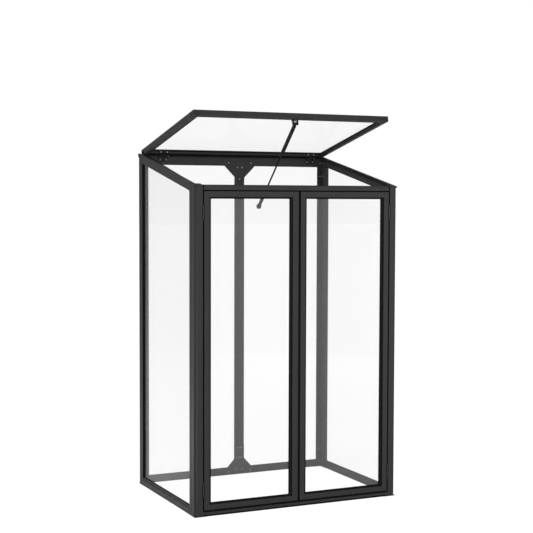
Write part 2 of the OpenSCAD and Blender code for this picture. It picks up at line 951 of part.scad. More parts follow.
module door_stile(w, left, right, x0, x1) {
    mid = (x1 - x0) / 2;
    face = x0 < 1 ? left : right;
    bx = x0 < 1 ? 0 : w - right;
    difference() {
        intersection() {
            door_ring(w, left, right);
            union() {
                translate([bx, -eps, -eps]) cube([face, door_t + 2 * eps, door_h + 2 * eps]);
                translate([x0, -eps, door_face]) cube([x1 - x0, door_t + 2 * eps, door_h - 2 * door_face]);
            }
        }
        translate([bx + wall_t, wall_t, -eps])
        cube([face - 2 * wall_t, door_t - 2 * wall_t, door_h + 2 * eps]);
    }
}

module door_rail(w, left, right, top) {
    lip_z = top ? door_h - door_face - door_step : -eps;
    bz = top ? door_h - door_face : 0;
    difference() {
        intersection() {
            door_ring(w, left, right);
            union() {
                translate([left, -eps, top ? bz : -eps])
                cube([w - left - right, door_t + 2 * eps, door_face + eps]);
                translate([left + door_step, -eps, lip_z])
                cube([w - left - right - 2 * door_step, door_t + 2 * eps, door_face + door_step + eps]);
            }
        }
        translate([left - eps, wall_t, bz + wall_t])
        cube([w - left - right + 2 * eps, door_t - 2 * wall_t, door_face - 2 * wall_t]);
    }
}

module door_glass(w, left, right) {
    door_void(w, left, right, door_slot_y + seal_t, door_slot_y + seal_t + glass_t, door_edge_in);
}

module door_gasket(w, left, right) {
    for (y = [door_slot_y, door_slot_y + seal_t + glass_t]) {
        grow = y > door_slot_y ? -2 : 0;
        difference() {
            door_void(w, left, right, y, y + seal_t, door_edge_in);
            door_void(w, left, right, y - eps, y + seal_t + eps, door_step + seal_show + grow);
        }
    }
}

l_in = door_face;
l_mid = door_face + meeting_extra;
right_w = door_outer_x - mid_shift - door_mid_gap / 2;

module left_door_frame() {
    translate([-door_outer_x, y_front, door_z0]) children();
}

module right_door_frame() {
    translate([door_outer_x - right_w, y_front, door_z0]) children();
}

module left_door_outer_stile() {
    color(frame_col) left_door_frame() door_stile(door_w, l_in, l_mid, 0, l_in + door_step);
}

module left_door_meeting_stile() {
    color(frame_col) left_door_frame() door_stile(door_w, l_in, l_mid, door_w - l_mid - door_step, door_w);
}

module left_door_top_rail() {
    color(frame_col) left_door_frame() door_rail(door_w, l_in, l_mid, true);
}

module left_door_bottom_rail() {
    color(frame_col) left_door_frame() door_rail(door_w, l_in, l_mid, false);
}

module left_door_pane() {
    color(glass_col) left_door_frame() door_glass(door_w, l_in, l_mid);
}

module left_door_seals() {
    color(rubber_col) left_door_frame() door_gasket(door_w, l_in, l_mid);
}

module left_door_hinge_leaves() {
    color(frame_col) at_door_hinges_left() door_hinge_leaf();
}

// Rubber strip on the edge of the left door that darkens the gap between the doors
meet_seal_y = 10;
meet_seal_t = 4;
meet_clear = 1.1;

module meeting_seal() {
    color(rubber_col)
    left_door_frame()
    translate([door_w, meet_seal_y, 2])
    cube([door_mid_gap - meet_clear, meet_seal_t, door_h - 4]);
}

module right_door_outer_stile() {
    color(frame_col) right_door_frame() door_stile(right_w, l_in, l_in, right_w - l_in - door_step, right_w);
}

module right_door_meeting_stile() {
    color(frame_col) right_door_frame() door_stile(right_w, l_in, l_in, 0, l_in + door_step);
}

module right_door_top_rail() {
    color(frame_col) right_door_frame() door_rail(right_w, l_in, l_in, true);
}

module right_door_bottom_rail() {
    color(frame_col) right_door_frame() door_rail(right_w, l_in, l_in, false);
}

module right_door_pane() {
    color(glass_col) right_door_frame() door_glass(right_w, l_in, l_in);
}

module right_door_seals() {
    color(rubber_col) right_door_frame() door_gasket(right_w, l_in, l_in);
}

module right_door_hinge_leaves() {
    color(frame_col) mirror([1, 0, 0]) at_door_hinges_left() door_hinge_leaf();
}

// The flap is drawn flat about its hinge line: y runs back along it, z is square to it
module flap_pose() {
    translate([0, pivot_y, pivot_z]) rotate([-lid_open, 0, 0]) children();
}

module flap_void(k0, k1, side, front, rear) {
    translate([-lid_w / 2 + side, -lid_reach + front, hinge_drop + k0])
    cube([lid_w - 2 * side, lid_reach + lid_tail - front - rear, k1 - k0]);
}

flap_glass_rear = lid_rear - 10;
flap_rear_lip = 6;

module flap_ring() {
    difference() {
        flap_void(0, lid_t, 0, 0, 0);
        flap_void(-eps, lid_t + eps, lid_side, lid_front, lid_rear);
        flap_void(lid_slot_k, lid_slot_k + lid_slot_t, lid_edge - 1, lid_edge - 1, flap_glass_rear - 1);
        flap_void(lid_slot_k + lid_slot_t - 0.001, lid_t + eps,
            lid_lip, lid_lip, flap_glass_rear + flap_rear_lip);
    }
}

module flap_block(x0, x1, y0, y1) {
    translate([x0, y0, hinge_drop - eps]) cube([x1 - x0, y1 - y0, lid_t + 2 * eps]);
}

module flap_front_rail() {
    half = lid_w / 2 - lid_corner;
    color(frame_col)
    flap_pose()
    difference() {
        intersection() {
            flap_ring();
            flap_block(-half, half, -lid_reach - eps, -lid_reach + lid_corner);
        }
        translate([-half - eps, -lid_reach + wall_t, hinge_drop + wall_t])
        cube([2 * half + 2 * eps, lid_front - 2 * wall_t, lid_under_t - 2 * wall_t]);
        flap_screw_holes();
    }
}

module flap_rear_rail() {
    y0 = lid_tail - lid_rear;
    color(frame_col)
    flap_pose()
    difference() {
        intersection() {
            flap_ring();
            flap_block(-lid_w / 2 - eps, lid_w / 2 + eps, y0, lid_tail + eps);
        }
        translate([-lid_w / 2 - eps, y0 + wall_t, hinge_drop + wall_t])
        cube([lid_w + 2 * eps, lid_rear - 2 * wall_t, lid_under_t - 2 * wall_t]);
        flap_screw_holes();
    }
}

module flap_side_left() {
    y0 = -lid_reach + lid_corner;
    y1 = lid_tail - lid_rear;
    difference() {
        intersection() {
            flap_ring();
            flap_block(-lid_w / 2 - eps, -lid_w / 2 + lid_side, y0, y1);
        }
        translate([-lid_w / 2 + wall_t, y0 - eps, hinge_drop + wall_t])
        cube([lid_side - 2 * wall_t, y1 - y0 + 2 * eps, lid_under_t - 2 * wall_t]);
    }
}

module flap_left_rail() {
    color(frame_col) flap_pose() flap_side_left();
}

module flap_right_rail() {
    color(frame_col) flap_pose() mirror([1, 0, 0]) flap_side_left();
}

module flap_corner_pieces() {
    color(plastic_col)
    flap_pose()
    mirror_x()
    intersection() {
        flap_ring();
        flap_block(-lid_w / 2 - eps, -lid_w / 2 + lid_corner, -lid_reach - eps, -lid_reach + lid_corner);
    }
}

module flap_pane() {
    color(glass_col)
    flap_pose()
    flap_void(lid_slot_k + seal_t, lid_slot_k + seal_t + glass_t, lid_edge, lid_edge, flap_glass_rear);
}

module flap_seals() {
    color(rubber_col)
    flap_pose() {
        difference() {
            flap_void(lid_slot_k, lid_slot_k + seal_t, lid_edge, lid_edge, flap_glass_rear);
            flap_void(lid_slot_k - eps, lid_slot_k + seal_t + eps,
                lid_side + seal_show, lid_front + seal_show, lid_rear + seal_show);
        }
        difference() {
            flap_void(lid_slot_k + seal_t + glass_t, lid_slot_k + lid_slot_t,
                lid_edge, lid_edge, flap_glass_rear);
            flap_void(lid_slot_k, lid_slot_k + lid_slot_t + eps,
                lid_lip + seal_show, lid_lip + seal_show, flap_glass_rear + flap_rear_lip + seal_show);
        }
    }
}

// Rubber strip under the rear rail of the flap that hangs past the inner edge of the rear top rail
strip_t = 3;
strip_h = 10.5;
strip_y = -8.5;

module flap_draught_strip() {
    half = lid_w / 2 - lid_side - 6;
    color(rubber_col)
    flap_pose()
    difference() {
        translate([-half, strip_y, hinge_drop - strip_h]) cube([2 * half, strip_t, strip_h]);
        for (x = hinge_spots) {
            translate([x - lid_hinge_w / 2 - 1, strip_y - eps, hinge_drop - strip_h - eps])
            cube([lid_hinge_w + 2, strip_t + 2 * eps, strip_h + 2 * eps]);
        }
    }
}

// Flap hinges: the fixed leaf hangs down the inner face of the rear top rail
hinge_spots = [lid_hinge_shift - lid_hinge_x, lid_hinge_shift + lid_hinge_x];
hinge_seg = lid_hinge_w / 3;
hinge_screw_x = lid_hinge_w / 3;
fixed_leaf_l = 28;
fixed_screw_z = -19;
// the flap leaf lies under the rear rail and turns up its inner face
flap_leaf_l = lid_rear - lid_tail + hinge_leaf_t;
flap_leaf_rise = lid_under_t;
flap_screw_z = hinge_drop + lid_under_t / 2;

module rail_hinge_screw_places() {
    for (x = hinge_spots) {
        for (s = [-1, 1]) {
            translate([x + s * hinge_screw_x, y_in, pivot_z + fixed_screw_z]) rotate([90, 0, 0]) children();
        }
    }
}

module rear_rail_hinge_leaves() {
    color(frame_col)
    difference() {
        for (x = hinge_spots) {
            translate([x, pivot_y, pivot_z]) {
                rotate([0, 90, 0]) {
                    translate([0, 0, -hinge_seg / 2]) cylinder(h = hinge_seg, r = hinge_r);
                    translate([0, 0, -lid_hinge_w / 2]) cylinder(h = lid_hinge_w, r = hinge_pin_r);
                }
                translate([-hinge_seg / 2, hinge_r - hinge_leaf_t, -fixed_leaf_l])
                cube([hinge_seg, hinge_leaf_t, fixed_leaf_l]);
                translate([-lid_hinge_w / 2, hinge_r - hinge_leaf_t, -fixed_leaf_l])
                cube([lid_hinge_w, hinge_leaf_t, fixed_leaf_l - hinge_r - 1.5]);
            }
        }
        rail_hinge_screw_places() screw_hole();
    }
}

// Screws into the inner face of the flap's rear rail, in the flap's own frame
module flap_screw_places() {
    for (x = hinge_spots) {
        for (s = [-1, 1]) {
            translate([x + s * hinge_screw_x, lid_tail - lid_rear, flap_screw_z])
            rotate([90, 0, 0])
            children();
        }
    }
}

// Screws up into the flap's front rail, heads down
module stay_screw_places() {
    for (s = [-1, 1]) {
        translate([stay_x + s * stay_screw_x, stay_pin_y - stay_screw_y, hinge_drop])
        rotate([180, 0, 0])
        children();
    }
}

module flap_screw_holes() {
    flap_screw_places() screw_hole();
    stay_screw_places() screw_hole();
}

module flap_screws() {
    color(steel_col)
    flap_pose() {
        flap_screw_places() pan_screw(hinge_leaf_t);
        stay_screw_places() pan_screw(stay_ear_t);
    }
}

module flap_hinge_leaves() {
    seg = hinge_seg - 0.4;
    color(frame_col)
    flap_pose()
    for (x = hinge_spots) {
        difference() {
            union() {
                for (s = [-1, 1]) {
                    x0 = x + s * (hinge_seg + 0.2) - seg / 2;
                    translate([x0, 0, 0]) rotate([0, 90, 0]) cylinder(h = seg, r = hinge_r);
                    translate([x0, -hinge_r, hinge_pin_r + 1])
                    cube([seg, hinge_r, hinge_drop - hinge_pin_r - 1]);
                }
                translate([x - lid_hinge_w / 2, -flap_leaf_l, hinge_drop - hinge_leaf_t])
                cube([lid_hinge_w, flap_leaf_l - hinge_r - 1, hinge_leaf_t]);
                translate([x - lid_hinge_w / 2, -flap_leaf_l, hinge_drop - hinge_leaf_t])
                cube([lid_hinge_w, hinge_leaf_t, flap_leaf_rise]);
                for (s = [-1, 1]) {
                    translate([x + s * (hinge_seg + 0.2) - seg / 2, -hinge_r - 2, hinge_drop - hinge_leaf_t])
                    cube([seg, hinge_r + 2, hinge_leaf_t]);
                }
            }
            flap_screw_places() screw_hole();
            translate([x - lid_hinge_w, 0, 0])
            rotate([0, 90, 0])
            cylinder(h = 2 * lid_hinge_w, r = hinge_pin_r + pin_play);
        }
    }
}

// Stay: a bracket under the front rail of the flap, a tube, a sliding rod and a foot bracket
stay_pin_y = -lid_reach + stay_setback;
stay_pin_k = hinge_drop - stay_drop;
stay_plate_l = 28;
stay_plate_off = 4;
stay_screw_x = 5.5;
stay_screw_y = 5;

module stay_pose() {
    flap_pose()
    translate([stay_x, stay_pin_y, stay_pin_k])
    rotate([-stay_angle, 0, 0])
    children();
}

// Two ears on a base plate; the ears hang down from the plane z = top
module fork(gap, top, plate_l, plate_off) {
    w = gap + 2 * stay_ear_t;
    for (s = [-1, 1]) {
        x0 = s < 0 ? -w / 2 : w / 2 - stay_ear_t;
        translate([x0, 0, 0]) rotate([0, 90, 0]) cylinder(h = stay_ear_t, r = stay_ear_r);
        translate([x0, -stay_ear_r, 0]) cube([stay_ear_t, 2 * stay_ear_r, top]);
    }
    translate([-w / 2, plate_off - plate_l / 2, top - stay_ear_t]) cube([w, plate_l, stay_ear_t]);
    translate([-w / 2, 0, 0]) rotate([0, 90, 0]) cylinder(h = w, r = stay_pin_r);
}

module stay_top_bracket() {
    color(frame_col)
    flap_pose()
    difference() {
        translate([stay_x, stay_pin_y, stay_pin_k])
        fork(stay_ear_gap, stay_drop, stay_plate_l, stay_plate_off);
        stay_screw_places() screw_hole();
    }
}

// In the stay's own frame y runs down the stay
module stay_tube() {
    eye = stay_ear_gap - 2 * stay_play;
    color(frame_col)
    stay_pose()
    difference() {
        union() {
            translate([-eye / 2, 0, 0]) rotate([0, 90, 0]) cylinder(h = eye, r = stay_ear_r - 1);
            translate([-rod_d / 2 - 1, 0, -stay_ear_r + 2.5])
            cube([rod_d + 2, eye_l + 4, 2 * stay_ear_r - 5]);
            translate([0, eye_l, 0]) rotate([-90, 0, 0]) cylinder(h = tube_l - eye_l, r = tube_d / 2);
        }
        translate([-eye, 0, 0]) rotate([0, 90, 0]) cylinder(h = 2 * eye, r = stay_pin_r + pin_play);
        translate([0, eye_l + 3, 0])
        rotate([-90, 0, 0]) {
            cylinder(h = tube_l - eye_l - 3 - bush_l, r = tube_d / 2 - 2.5);
            cylinder(h = tube_l, r = rod_d / 2 + pin_play);
        }
    }
}

module stay_rod() {
    y0 = tube_l - bush_l - rod_hidden;
    y1 = tube_l + rod_l;
    eye = foot_ear_gap - 2 * stay_play;
    tongue = eye / 2;
    color(steel_col)
    stay_pose()
    difference() {
        union() {
            translate([0, y0, 0]) rotate([-90, 0, 0]) cylinder(h = y1 - y0 - 9, r = rod_d / 2);
            translate([0, y0, 0]) rotate([-90, 0, 0]) cylinder(h = 6, r = piston_r);
            translate([0, y1 - socket_l, 0]) rotate([-90, 0, 0]) cylinder(h = socket_l - 10, r = socket_r);
            translate([-eye / 2, y1, 0]) rotate([0, 90, 0]) cylinder(h = eye, r = stay_ear_r - 1);
            translate([-tongue / 2, y1 - 12, -stay_ear_r + 3]) cube([tongue, 12, 2 * stay_ear_r - 6]);
        }
        translate([-eye, y1, 0]) rotate([0, 90, 0]) cylinder(h = 2 * eye, r = stay_pin_r + pin_play);
    }
}

module stay_foot_bracket() {
    color(frame_col)
    stay_pose()
    translate([0, tube_l + rod_l, 0])
    rotate([-90, 0, 0])
    fork(foot_ear_gap, 12, 2 * stay_ear_r + 2, 0);
}

front_left_post();
front_right_post();
rear_left_post();
rear_right_post();
front_sill();
rear_sill();
left_sill();
right_sill();
front_top_rail();
rear_top_rail();
left_raking_rail();
right_raking_rail();
rear_mullion();
upper_gusset();
lower_gusset();
corner_brackets();
frame_screws();
left_side_pane();
right_side_pane();
rear_left_pane();
rear_right_pane();
side_pane_seals();
rear_pane_seals();
corner_feet();
front_corner_caps();
rear_corner_caps();
door_buffers();
door_stop_seal();
flap_seat_seal();
post_hinge_leaves();
rear_rail_hinge_leaves();
left_door_outer_stile();
left_door_meeting_stile();
left_door_top_rail();
left_door_bottom_rail();
left_door_pane();
left_door_seals();
left_door_hinge_leaves();
meeting_seal();
right_door_outer_stile();
right_door_meeting_stile();
right_door_top_rail();
right_door_bottom_rail();
right_door_pane();
right_door_seals();
right_door_hinge_leaves();
flap_front_rail();
flap_rear_rail();
flap_left_rail();
flap_right_rail();
flap_corner_pieces();
flap_pane();
flap_seals();
flap_draught_strip();
flap_hinge_leaves();
stay_top_bracket();
flap_screws();
stay_tube();
stay_rod();
stay_foot_bracket();
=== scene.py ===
"""Looks of the balcony greenhouse: powder-coated aluminium, clear glass, rubber seals, fixings."""
import json
import math

import bmesh
import bpy
from mathutils import Matrix, Vector


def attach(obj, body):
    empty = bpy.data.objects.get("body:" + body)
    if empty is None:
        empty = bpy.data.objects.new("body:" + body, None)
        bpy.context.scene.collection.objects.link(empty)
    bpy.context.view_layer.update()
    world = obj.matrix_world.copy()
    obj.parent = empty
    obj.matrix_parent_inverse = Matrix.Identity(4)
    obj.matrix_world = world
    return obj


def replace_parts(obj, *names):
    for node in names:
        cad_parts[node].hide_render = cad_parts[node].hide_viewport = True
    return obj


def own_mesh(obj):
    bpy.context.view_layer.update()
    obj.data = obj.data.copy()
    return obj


MM = 0.001

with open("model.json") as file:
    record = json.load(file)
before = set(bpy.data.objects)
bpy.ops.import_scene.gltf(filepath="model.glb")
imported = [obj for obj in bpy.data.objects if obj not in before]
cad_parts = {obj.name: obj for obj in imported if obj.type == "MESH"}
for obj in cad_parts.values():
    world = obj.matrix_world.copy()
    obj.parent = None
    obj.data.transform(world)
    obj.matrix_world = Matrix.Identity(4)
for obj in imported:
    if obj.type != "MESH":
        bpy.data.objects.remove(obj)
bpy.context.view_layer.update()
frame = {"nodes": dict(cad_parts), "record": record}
nodes = frame["nodes"]


# Shader maths: a wrapped socket takes part in plain arithmetic
class Wire:
    def __init__(self, finish, socket):
        self.finish = finish
        self.socket = socket

    def maths(self, operation, *others, first=None):
        values = [self if first is None else first, *others]
        return self.finish.node("ShaderNodeMath", {"operation": operation}, dict(enumerate(values)))

    def __add__(self, other):
        return self.maths("ADD", other)

    __radd__ = __add__

    def __mul__(self, other):
        return self.maths("MULTIPLY", other)

    __rmul__ = __mul__

    def __sub__(self, other):
        return self.maths("SUBTRACT", other)

    def __rsub__(self, other):
        return self.maths("SUBTRACT", self, first=other)

    def __pow__(self, other):
        return self.maths("POWER", other)

    def most(self, other):
        return self.maths("MAXIMUM", other)

    def above(self, low, high):
        """0 below low, 1 above high and smooth between them."""
        values = {"Value": self, "From Min": low, "From Max": high}
        return self.finish.node("ShaderNodeMapRange", {"interpolation_type": "SMOOTHSTEP"}, values)


def add_node(tree, kind, settings=None, values=None):
    """A node of a shader or geometry tree: its settings, then the values or links of its sockets."""
    made = tree.nodes.new(kind)
    for key, value in (settings or {}).items():
        setattr(made, key, value)
    for key, value in (values or {}).items():
        given = value.socket if isinstance(value, Wire) else value
        if isinstance(given, bpy.types.NodeSocket):
            tree.links.new(given, made.inputs[key])
        else:
            made.inputs[key].default_value = given
    return made


class Finish:
    """The nodes of one material, or of the sky."""

    def __init__(self, name, sky=False):
        self.owner = (bpy.data.worlds if sky else bpy.data.materials).new(name)
        self.output = "ShaderNodeOutputWorld" if sky else "ShaderNodeOutputMaterial"
        self.owner.use_nodes = True
        self.tree = self.owner.node_tree
        self.tree.nodes.clear()

    def node(self, kind, settings=None, values=None, out=0):
        return Wire(self, add_node(self.tree, kind, settings, values).outputs[out])

    def place(self):
        return self.node("ShaderNodeTexCoord", out="Object")

    def facing(self, side):
        """How far the surface looks along X, Y or Z of the object, from -1 to 1."""
        normal = self.node("ShaderNodeTexCoord", out="Normal")
        return self.node("ShaderNodeSeparateXYZ", {}, {"Vector": normal}, out=side)

    def stretched(self, sizes):
        """Object coordinates scaled unevenly, for streaks."""
        return self.node("ShaderNodeMapping", {}, {"Vector": self.place(), "Scale": sizes})

    def noise(self, scale, detail=2.0, roughness=0.5, place=None):
        values = {"Vector": place or self.place(), "Scale": scale, "Detail": detail, "Roughness": roughness}
        return self.node("ShaderNodeTexNoise", {}, values)

    def mix(self, share, low, high):
        """Blend from one colour to another; each is a colour or a wire."""
        values = {0: share, 6: low, 7: high}
        return self.node("ShaderNodeMix", {"data_type": "RGBA"}, values, out=2)

    def soft_edge(self, radius):
        """The normal as if the edges were rounded, and a mask of those edges."""
        soft = self.node("ShaderNodeBevel", {"samples": 6}, {"Radius": radius})
        flat = self.node("ShaderNodeNewGeometry", out="True Normal")
        level = self.node("ShaderNodeVectorMath", {"operation": "DOT_PRODUCT"}, {0: soft, 1: flat}, out=1)
        return soft, (1.0 - level).above(0.005, 0.15)

    def bump(self, height, depth, normal=None):
        values = {"Height": height, "Distance": depth}
        if normal is not None:
            values["Normal"] = normal
        return self.node("ShaderNodeBump", {}, values)

    def straight_view(self):
        """1 where the camera looks, also through glass, and 0 for light on its way to a surface."""
        path = {out: self.node("ShaderNodeLightPath", out=out) for out in
            ("Is Camera Ray", "Is Transmission Ray", "Diffuse Depth", "Glossy Depth")}
        unscattered = (1.0 - path["Diffuse Depth"] - path["Glossy Depth"]).most(0.0)
        return path["Is Camera Ray"].most(path["Is Transmission Ray"] * unscattered)

    def glossy_view(self, share):
        return self.node("ShaderNodeLightPath", out="Is Glossy Ray") * share

    def surface(self, values):
        return self.node("ShaderNodeBsdfPrincipled", {}, values)

    def blend(self, share, first, second):
        return self.node("ShaderNodeMixShader", {}, {0: share, 1: first, 2: second})

    def done(self, shader):
        add_node(self.tree, self.output, {}, {"Surface": shader})
        return self.owner


def grey(level, tint=(1.0, 1.0, 1.0)):
    return (level * tint[0], level * tint[1], level * tint[2], 1.0)


# Finishes
COAT_TINT = (1.0, 1.0, 1.01)


def powder_coat(name, level=0.0227, grain=1.0):
    """Matt anthracite powder coat: orange-peel grain, cloudy gloss, fine dust, and lighter edges that are
    partly worn coat and partly a painted highlight.
    """
    f = Finish(name)
    soft, edge = f.soft_edge(0.7 * MM)
    cloud = f.noise(4.0, 3.0, 0.55)
    peel = f.noise(1100.0, 2.0, 0.45)
    pits = f.noise(2600.0, 1.0, 0.5)
    dust = f.facing(2).above(0.35, 0.95) * f.noise(60.0, 4.0, 0.6).above(0.35, 0.75)
    colour = f.mix(cloud.above(0.25, 0.75), grey(level * 0.86, COAT_TINT), grey(level * 1.14, COAT_TINT))
    colour = f.mix(peel.above(0.45, 0.8) * 0.25, colour, grey(level * 1.9, COAT_TINT))
    colour = f.mix(dust * 0.22, colour, grey(0.13, (1.04, 1.0, 0.94)))
    # Lighter edges: partly worn coat, partly a painted highlight of the rounded edges.
    colour = f.mix(edge * 0.35, colour, grey(0.062))
    rough = 0.47 + cloud * 0.14 + peel * 0.08 - edge * 0.12
    normal = f.bump(peel * 0.8 + pits * 0.2, 0.05 * MM * grain, soft)
    return f.done(f.surface({
        "Base Color": colour, "Roughness": rough, "Normal": normal, "IOR": 1.5, "Specular IOR Level": 0.46}))


def moulded_plastic(name, level=0.02):
    """Black moulded plastic with a fine spark-eroded texture and slightly shiny corners."""
    f = Finish(name)
    soft, edge = f.soft_edge(0.6 * MM)
    skin = f.noise(1700.0, 3.0, 0.7)
    flow = f.noise(25.0, 2.0, 0.5)
    colour = f.mix(flow.above(0.3, 0.7), grey(level * 0.85), grey(level * 1.2))
    colour = f.mix(edge * 0.4, colour, grey(0.06))
    rough = 0.5 + skin * 0.2 - edge * 0.15
    return f.done(f.surface({
        "Base Color": colour, "Roughness": rough, "Normal": f.bump(skin, 0.04 * MM, soft),
        "Specular IOR Level": 0.37}))


def sealing_rubber(name, level=0.0033):
    """Matt black glazing rubber with faint drawing lines and a pale bloom here and there."""
    f = Finish(name)
    lines = f.noise(420.0, 2.0, 0.5, f.stretched((1.0, 1.0, 0.05)))
    bloom = f.noise(35.0, 4.0, 0.65).above(0.55, 0.8)
    colour = f.mix(bloom * 0.35, grey(level), grey(level * 3))
    return f.done(f.surface({
        "Base Color": colour, "Roughness": 0.72 + bloom * 0.12, "Normal": f.bump(lines, 0.05 * MM),
        "Specular IOR Level": 0.16}))


def window_glass(name, index, clear):
    """Clear float glass: faint waviness, and a white diffuse share that lifts the dark of what stands behind;
    it is a breath of dust and also a painted reflection of the white surroundings, which the low index keeps
    out of the real reflections.
    """
    f = Finish(name)
    wave = f.noise(5.0, 1.0, 0.4)
    film = f.noise(9.0, 3.0, 0.6).above(0.5, 0.85)
    body = f.surface({
        "Base Color": grey(1.0, (0.999, 1.0, 0.999)), "Roughness": film * 0.012,
        "Transmission Weight": clear, "IOR": index, "Normal": f.bump(wave, 0.02 * MM)})
    straight = f.node("ShaderNodeBsdfTransparent", {}, {"Color": grey(0.93, (0.99, 1.0, 0.995))})
    shadow = f.node("ShaderNodeLightPath", out="Is Shadow Ray")
    return f.done(f.blend(shadow, body, straight))


def zinc_steel(name, level=0.4):
    """Zinc-plated steel gone dull: grey, slightly cloudy, with fine turning marks."""
    f = Finish(name)
    soft, edge = f.soft_edge(0.2 * MM)
    cloud = f.noise(300.0, 3.0, 0.6)
    colour = f.mix(cloud, grey(level * 0.8, (0.98, 1.0, 1.02)), grey(level * 1.15, (1.0, 1.0, 0.98)))
    rough = 0.32 + cloud * 0.16 - edge * 0.08
    return f.done(f.surface({
        "Base Color": colour, "Metallic": 0.45, "Roughness": rough,
        "Normal": f.bump(f.noise(2200.0, 1.0), 0.02 * MM, soft)}))


def black_lacquer(name, level=0.0082):
    """Satin black lacquer of the hinges and the stay: thin on the edges, faintly streaked."""
    f = Finish(name)
    soft, edge = f.soft_edge(0.3 * MM)
    streaks = f.noise(500.0, 2.0, 0.5, f.stretched((1.0, 0.08, 0.08)))
    cloud = f.noise(60.0, 3.0, 0.55)
    colour = f.mix(cloud.above(0.3, 0.7), grey(level * 0.8), grey(level * 1.3))
    colour = f.mix(edge * 0.3, colour, grey(0.05))
    return f.done(f.surface({
        "Base Color": colour, "Roughness": 0.36 + cloud * 0.12 + streaks * 0.06,
        "Normal": f.bump(streaks, 0.02 * MM, soft), "Specular IOR Level": 0.3}))


def black_rod(name, level=0.0053):
    """Blackened round bar with fine lines along it where the bush slides."""
    f = Finish(name)
    lines = f.noise(700.0, 2.0, 0.5, f.stretched((1.0, 0.04, 0.04)))
    worn = f.noise(40.0, 3.0, 0.6).above(0.5, 0.8)
    colour = f.mix(worn * 0.5, grey(level), grey(level * 4))
    return f.done(f.surface({
        "Base Color": colour, "Roughness": 0.38 + lines * 0.14 - worn * 0.06,
        "Normal": f.bump(lines, 0.02 * MM), "Specular IOR Level": 0.16}))


coat = powder_coat("powder_coat")
plastic = moulded_plastic("moulded_plastic")
rubber = sealing_rubber("sealing_rubber")
# Transmission under 1 leaves a white diffuse share on the glass: a dust film, and a painted reflection of the
# white room.
glass = window_glass("window_glass", 1.12, 0.942)
roof_glass = window_glass("roof_glass", 1.03, 0.95)
zinc = zinc_steel("zinc_steel")
lacquer = black_lacquer("black_lacquer")
# The hinge leaves' coat is painted lighter: a painted highlight on the knuckles.
hinge_coat = powder_coat("hinge_coat", 0.042, 0.4)
foot_plastic = moulded_plastic("foot_plastic", 0.009)
seat_rubber = sealing_rubber("seat_rubber", 0.016)
rod = black_rod("black_rod")

finish_of_slot = {
    "anthracite_coating": coat, "black_plastic": plastic, "black_rubber": rubber,
    "clear_glass": glass, "dark_steel": zinc, "rod_steel": rod, "black_steel": lacquer}

# Nodes whose finish is a shade lighter, darker or clearer than their slot's; the lighter coat of the hinge
# leaves is a painted highlight.
special_finish = {
    "flap_pane": roof_glass, "corner_feet": foot_plastic, "flap_seat_seal": seat_rubber,
    "post_hinge_leaves": hinge_coat, "left_door_hinge_leaves": hinge_coat,
    "right_door_hinge_leaves": hinge_coat}


def dress_frame():
    """Every CAD node keeps its shape and gets its finish."""
    for part in frame["record"]["subparts"]:
        node = nodes[part["node"]]
        finish = special_finish.get(part["node"], finish_of_slot[part["material_slot"]])
        node.data.materials.clear()
        node.data.materials.append(finish)


dress_frame()


# Separate solids of a CAD node, for placing what sits on them
def solids_of(name):
    """Corner points of each separate solid of a CAD node."""
    mesh = nodes[name].data
    keys = [tuple(round(c, 5) for c in v.co) for v in mesh.vertices]
    group = {key: key for key in keys}

    def root(key):
        while group[key] != key:
            group[key] = group[group[key]]
            key = group[key]
        return key

    for face in mesh.polygons:
        first = root(keys[face.vertices[0]])
        for index in face.vertices[1:]:
            group[root(keys[index])] = first
    found = {}
    for key in group:
        found.setdefault(root(key), []).append(Vector(key))
    return [found[key] for key in sorted(found)]


def box_of(points):
    low = Vector(min(p[i] for p in points) for i in range(3))
    high = Vector(max(p[i] for p in points) for i in range(3))
    return low, high


# Mesh helpers
def new_piece(name, mesh):
    piece = bpy.data.objects.new(name, mesh)
    bpy.context.scene.collection.objects.link(piece)
    return piece


def baked(source, name):
    """A plain mesh piece of what the modifiers of source make; source is then removed."""
    bpy.context.view_layer.update()
    ready = source.evaluated_get(bpy.context.evaluated_depsgraph_get())
    mesh = bpy.data.meshes.new_from_object(ready)
    bpy.data.objects.remove(source)
    piece = new_piece(name, mesh)
    mesh.name = name
    return piece


def to_piece(shape, name):
    mesh = bpy.data.meshes.new(name)
    shape.to_mesh(mesh)
    shape.free()
    return new_piece(name, mesh)


def turned_shape(profile, steps):
    """A closed shape of revolution about Z from (radius, height) points that start and end on the axis."""
    shape = bmesh.new()
    rings = []
    for radius, height in profile:
        if radius == 0:
            rings.append([shape.verts.new((0, 0, height))])
            continue
        turn = [2 * math.pi * i / steps for i in range(steps)]
        rings.append([shape.verts.new((radius * math.cos(a), radius * math.sin(a), height)) for a in turn])
    for low, high in zip(rings, rings[1:]):
        for i in range(steps):
            j = (i + 1) % steps
            corners = [low[i % len(low)], low[j % len(low)], high[j % len(high)], high[i % len(high)]]
            shape.faces.new(list(dict.fromkeys(corners)))
    bmesh.ops.recalc_face_normals(shape, faces=shape.faces)
    return shape


# Screws: the recess's arms are given as shares of the head's radius
SCREW_HEAD_R = 3.6 * MM
SCREW_HEAD_H = 1.8 * MM
SCREW_SHANK_R = 1.9 * MM
SCREW_BELOW = 2.0 * MM
RECESS_SPAN = 1.15
RECESS_WIDTH = 0.26


